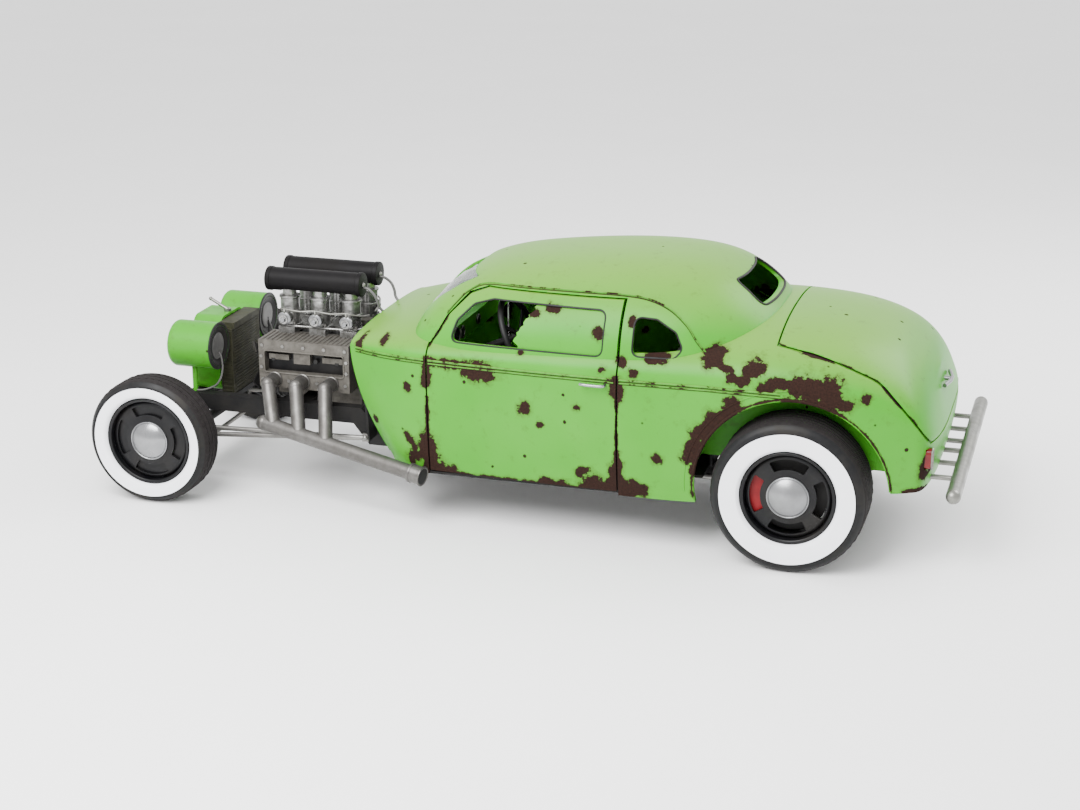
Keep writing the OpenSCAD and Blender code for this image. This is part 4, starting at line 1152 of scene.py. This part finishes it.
# arcs of the belt round its pulleys: centre, radius, angles and points
coolSet = {"beltStation": 402, "belt": 7.0, "fin": 3.5, "rib": 4.0, "fins": (420, 730, 16), "finStation": 205,
    "finSides": (-146, 146), "ribs": (415, 730, 22), "ribStations": (148, 198), "ribSide": -165,
    "pulleys": (((0, 560), 97, -10, 190, 26), ((0, 440), 77, 190, 350, 22))}
beltLine = np.vstack([arcPoints(*pulley) for pulley in coolSet["pulleys"]])
beltPath = [(coolSet["beltStation"], y, z) for y, z in beltLine]
beadPiece("fanBelt", [beltPath], coolSet["belt"], rubberMat, "chassis", closes=True)
finPaths = [[(coolSet["finStation"], y, z) for y in coolSet["finSides"]] for z in range(*coolSet["fins"])]
beadPiece("radiatorFins", finPaths, coolSet["fin"], oliveMat, "chassis", 6)
ribPaths = [[(s, coolSet["ribSide"], z) for s in coolSet["ribStations"]] for z in range(*coolSet["ribs"])]
chassisBead("radiatorRibs", ribPaths, coolSet["rib"], oliveMat, 6)

print("stage: lamps, handles and tail details")
headlampSet = {"side": 297.0, "height": 688, "wire": 5.0,
    "back": [(0, 1), (99.4, 1), (99.4, 13), (95, 15.4), (88, 13), (74, 5), (68, 4.4), (65, 8), (60, 10.5),
        (40, 12), (0, 13)],
    "rim": [(99.5, 0), (115.4, 0), (117, 2), (117, 7), (114, 9.5), (102, 9.5), (99.5, 8)],
    "dish": [(0, 11.5), (14, 11.5), (30, 10.5), (55, 7.6), (75, 5.2), (88.5, 3.6), (88.5, 13.6), (0, 13.6)],
    "bulb": [(0, 4), (5, 5), (8, 8), (8, 11.4), (0, 11.4)],
    "pane": [(0, -5), (30, -4.2), (60, -1.9), (80, 0.6), (89.2, 2.1), (89.2, 3.4), (80, 2.1), (60, -0.4),
        (30, -2.7), (0, -3.5)],
    "wirePath": [(196, -297, 656), (208, -299, 628), (214, -304, 580), (206, -312, 530), (180, -322, 490),
        (120, -326, 464), (70, -324, 458)]}


def lampBits(rows):
    # the same turned bits on both lamps: profile, station, finishes, segments and which finish each face has
    return [(headlampSet[key], (s, sign * headlampSet["side"], headlampSet["height"]), "length", *rest)
        for sign in hands for key, s, *rest in rows]


turnedSet("lampBacks", lampBits([("back", 183.6, [rubberMat, hoseMat], 72, lambda j: 1 if 6 < j < 10 else 0),
    ("rim", 191.5, [rubberMat], 72)]))
turnedSet("lampMirrors", lampBits([("dish", 0.0, [capMat], 72), ("bulb", 0.0, [capMat], 24)]),
    "headlamp_lenses")
turnedSet("lampLenses", lampBits([("pane", 0.0, [lensMat], 72)]), "headlamp_lenses")
chassisBead("lampWires", [smoothPath(headlampSet["wirePath"], 7)], headlampSet["wire"], hoseMat, 10)
tailSet = {"station": 3701, "half": 24.6, "high": 560, "low": 515, "rim": 4.0, "window": 6.0}
tailRim = np.vstack([arcPoints((-lampSet["side"], tailSet["high"]), tailSet["half"], 0, 180, 15),
    arcPoints((-lampSet["side"], tailSet["low"]), tailSet["half"], 180, 360, 15)])
rimPath = [(tailSet["station"], y, z) for y, z in tailRim]
chassisBead("tailRims", [rimPath], tailSet["rim"], chromeMat, closes=True)


def domeRear(y, z):
    # station of the roof's back at a side and height
    return lastWhere(2460.0, 2958.0, lambda s: domeAt(s, z) > abs(y))


rearPath = [(domeRear(y, z) - 1.0, y, z) for y, z in denseOutline(rearWindow)]
beadPiece("rearWindowBead", [rearPath], tailSet["window"], rubberMat, "chassis", closes=True)
# grip of the lid's handle: reach from the station, and side
lidHandle = {"station": 3686.0, "height": 745.0, "radius": 10.0, "stem": [(-6, 0), (30, 0)],
    "grip": [(12, -118.0), (28, -40), (31, 0), (28, 40), (12, 118.0)]}
gripPath, stemPath = ([(lidHandle["station"] + reach, y, lidHandle["height"]) for reach, y in lidHandle[key]]
    for key in ("grip", "stem"))
beadPiece("lidHandle", [smoothPath(gripPath, 8), stemPath], lidHandle["radius"], capMat, "boot_lid", 12)
springSet = {"centre": (3100, -330, 402), "radius": 47, "rise": 60, "turns": 4, "wire": 5.0}
coilTurn = np.linspace(0, 2 * math.pi * springSet["turns"], 140)
coilRing = springSet["radius"] * np.c_[np.cos(coilTurn), np.sin(coilTurn), 0 * coilTurn]
coilRing[:, 2] = springSet["rise"] * coilTurn / coilTurn[-1]
chassisBead("springCoils", [coilRing + np.array(springSet["centre"])], springSet["wire"], blackMat)
dialSet = {"station": 1439.8, "height": 846, "dials": ((-420, 30), (-330, 46), (-240, 30), (0, 24))}
dialBits = []
for y, size in dialSet["dials"]:
    spot = (dialSet["station"], y, dialSet["height"])
    bezel = [(size - 5, 0), (size, 0), (size + 2, 3), (size, 7), (size - 4, 8), (size - 6, 5)]
    face = [(0, 0.5), (size - 4, 0.5), (size - 4, 3), (6, 3), (5, 6), (0, 6.5)]
    dialBits += [(bezel, spot, "length", [chromeMat], 48), (face, spot, "length", [rubberMat], 48)]
turnedSet("dashDials", dialBits)

print("stage: padded seat")
# outlines in station and height, and the way that each pad's channelled face looks
seatSet = {"half": 486.0, "voxel": 0.009, "pressure": 4.0, "frames": 20, "cap": 0.024, "channel": 0.010,
    "channelWidth": 0.011, "channels": (-0.324, -0.162, 0.0, 0.162, 0.324), "fill": 0.7, "corner": 34,
    "cushion": ([(1966, 506), (2462, 498), (2462, 578), (1966, 588)], (-0.2, 0.0, 0.98)),
    "back": ([(2438, 590), (2526, 590), (2640, 918), (2562, 936)], (-0.94, 0.0, 0.34)),
    "board": ((1980, -500, 454), (2440, 500, 500)), "runner": (2000, 2420, 367.4, 454),
    "runnerSide": 410, "runnerHalf": 30, "bevel": 0.006}


def plainMesh(obj, kind, **values):
    # applies one modifier
    mod = obj.modifiers.new(kind.lower(), kind)
    for key, value in values.items():
        setattr(mod, key, value)
    return bakeShape(obj)


def paddedPiece(name, outline, face):
    # a pad blown up by cloth pressure, with sewn channels pressed in afterwards
    pad = prism(name, roundOutline(outline, seatSet["corner"], 6), -seatSet["half"], seatSet["half"], "side")
    plainMesh(pad, "REMESH", mode="VOXEL", voxel_size=seatSet["voxel"])
    start = readVectors(pad.data.vertices, "co")
    shape = start.copy()
    cloth = pad.modifiers.new("puff", "CLOTH")
    cloth.settings.use_pressure = True
    cloth.settings.uniform_pressure_force = seatSet["pressure"]
    cloth.settings.effector_weights.gravity = 0.0
    cloth.point_cache.frame_start = 1
    cloth.point_cache.frame_end = seatSet["frames"]
    for step in range(1, seatSet["frames"] + 1):
        bpy.context.scene.frame_set(step)
    puffed = pad.evaluated_get(bpy.context.evaluated_depsgraph_get()).data
    move = readVectors(puffed.vertices, "co") - start
    pad.modifiers.clear()
    bpy.context.scene.frame_set(1)
    run = np.linalg.norm(move, axis=1, keepdims=True)
    shape = start + move * np.minimum(1.0, seatSet["cap"] / np.maximum(run, 1e-9))
    pad.data.vertices.foreach_set("co", shape.ravel())
    pad.data.update()
    way = readVectors(pad.data.vertex_normals, "vector")
    away = np.min(np.abs(shape[:, 1:2] - np.array(seatSet["channels"])), axis=1)
    sewn = seatSet["channel"] * np.exp(-(away / seatSet["channelWidth"]) ** 2)
    press = sewn * np.clip(way @ np.array(face), 0.0, 1.0)
    pad.data.vertices.foreach_set("co", (shape - way * press[:, None]).ravel())
    pad.data.update()
    plainMesh(pad, "SUBSURF", levels=1, render_levels=1)
    pad.data.materials.clear()
    pad.data.materials.append(clothMat)
    pad.data.polygons.foreach_set("use_smooth", [True] * len(pad.data.polygons))
    dress(pad, "chassis", "seat")


paddedPiece("seatCushion", *seatSet["cushion"])
paddedPiece("seatBack", *seatSet["back"])
seatWood = [boxSolid("board", *seatSet["board"])]
front, rear, low, high = seatSet["runner"]
for sign in hands:
    inside, outside = (sign * seatSet["runnerSide"] + out for out in (-seatSet["runnerHalf"], seatSet["runnerHalf"]))
    seatWood.append(boxSolid("runner", (front, inside, low), (rear, outside, high)))
for part in seatWood:
    part.data.materials.append(blackMat)
seatFrame = joinPieces("seatFrame", seatWood)
plainMesh(seatFrame, "BEVEL", width=seatSet["bevel"], segments=3)
smoothSharp(seatFrame)
dress(seatFrame, "chassis", "seat")
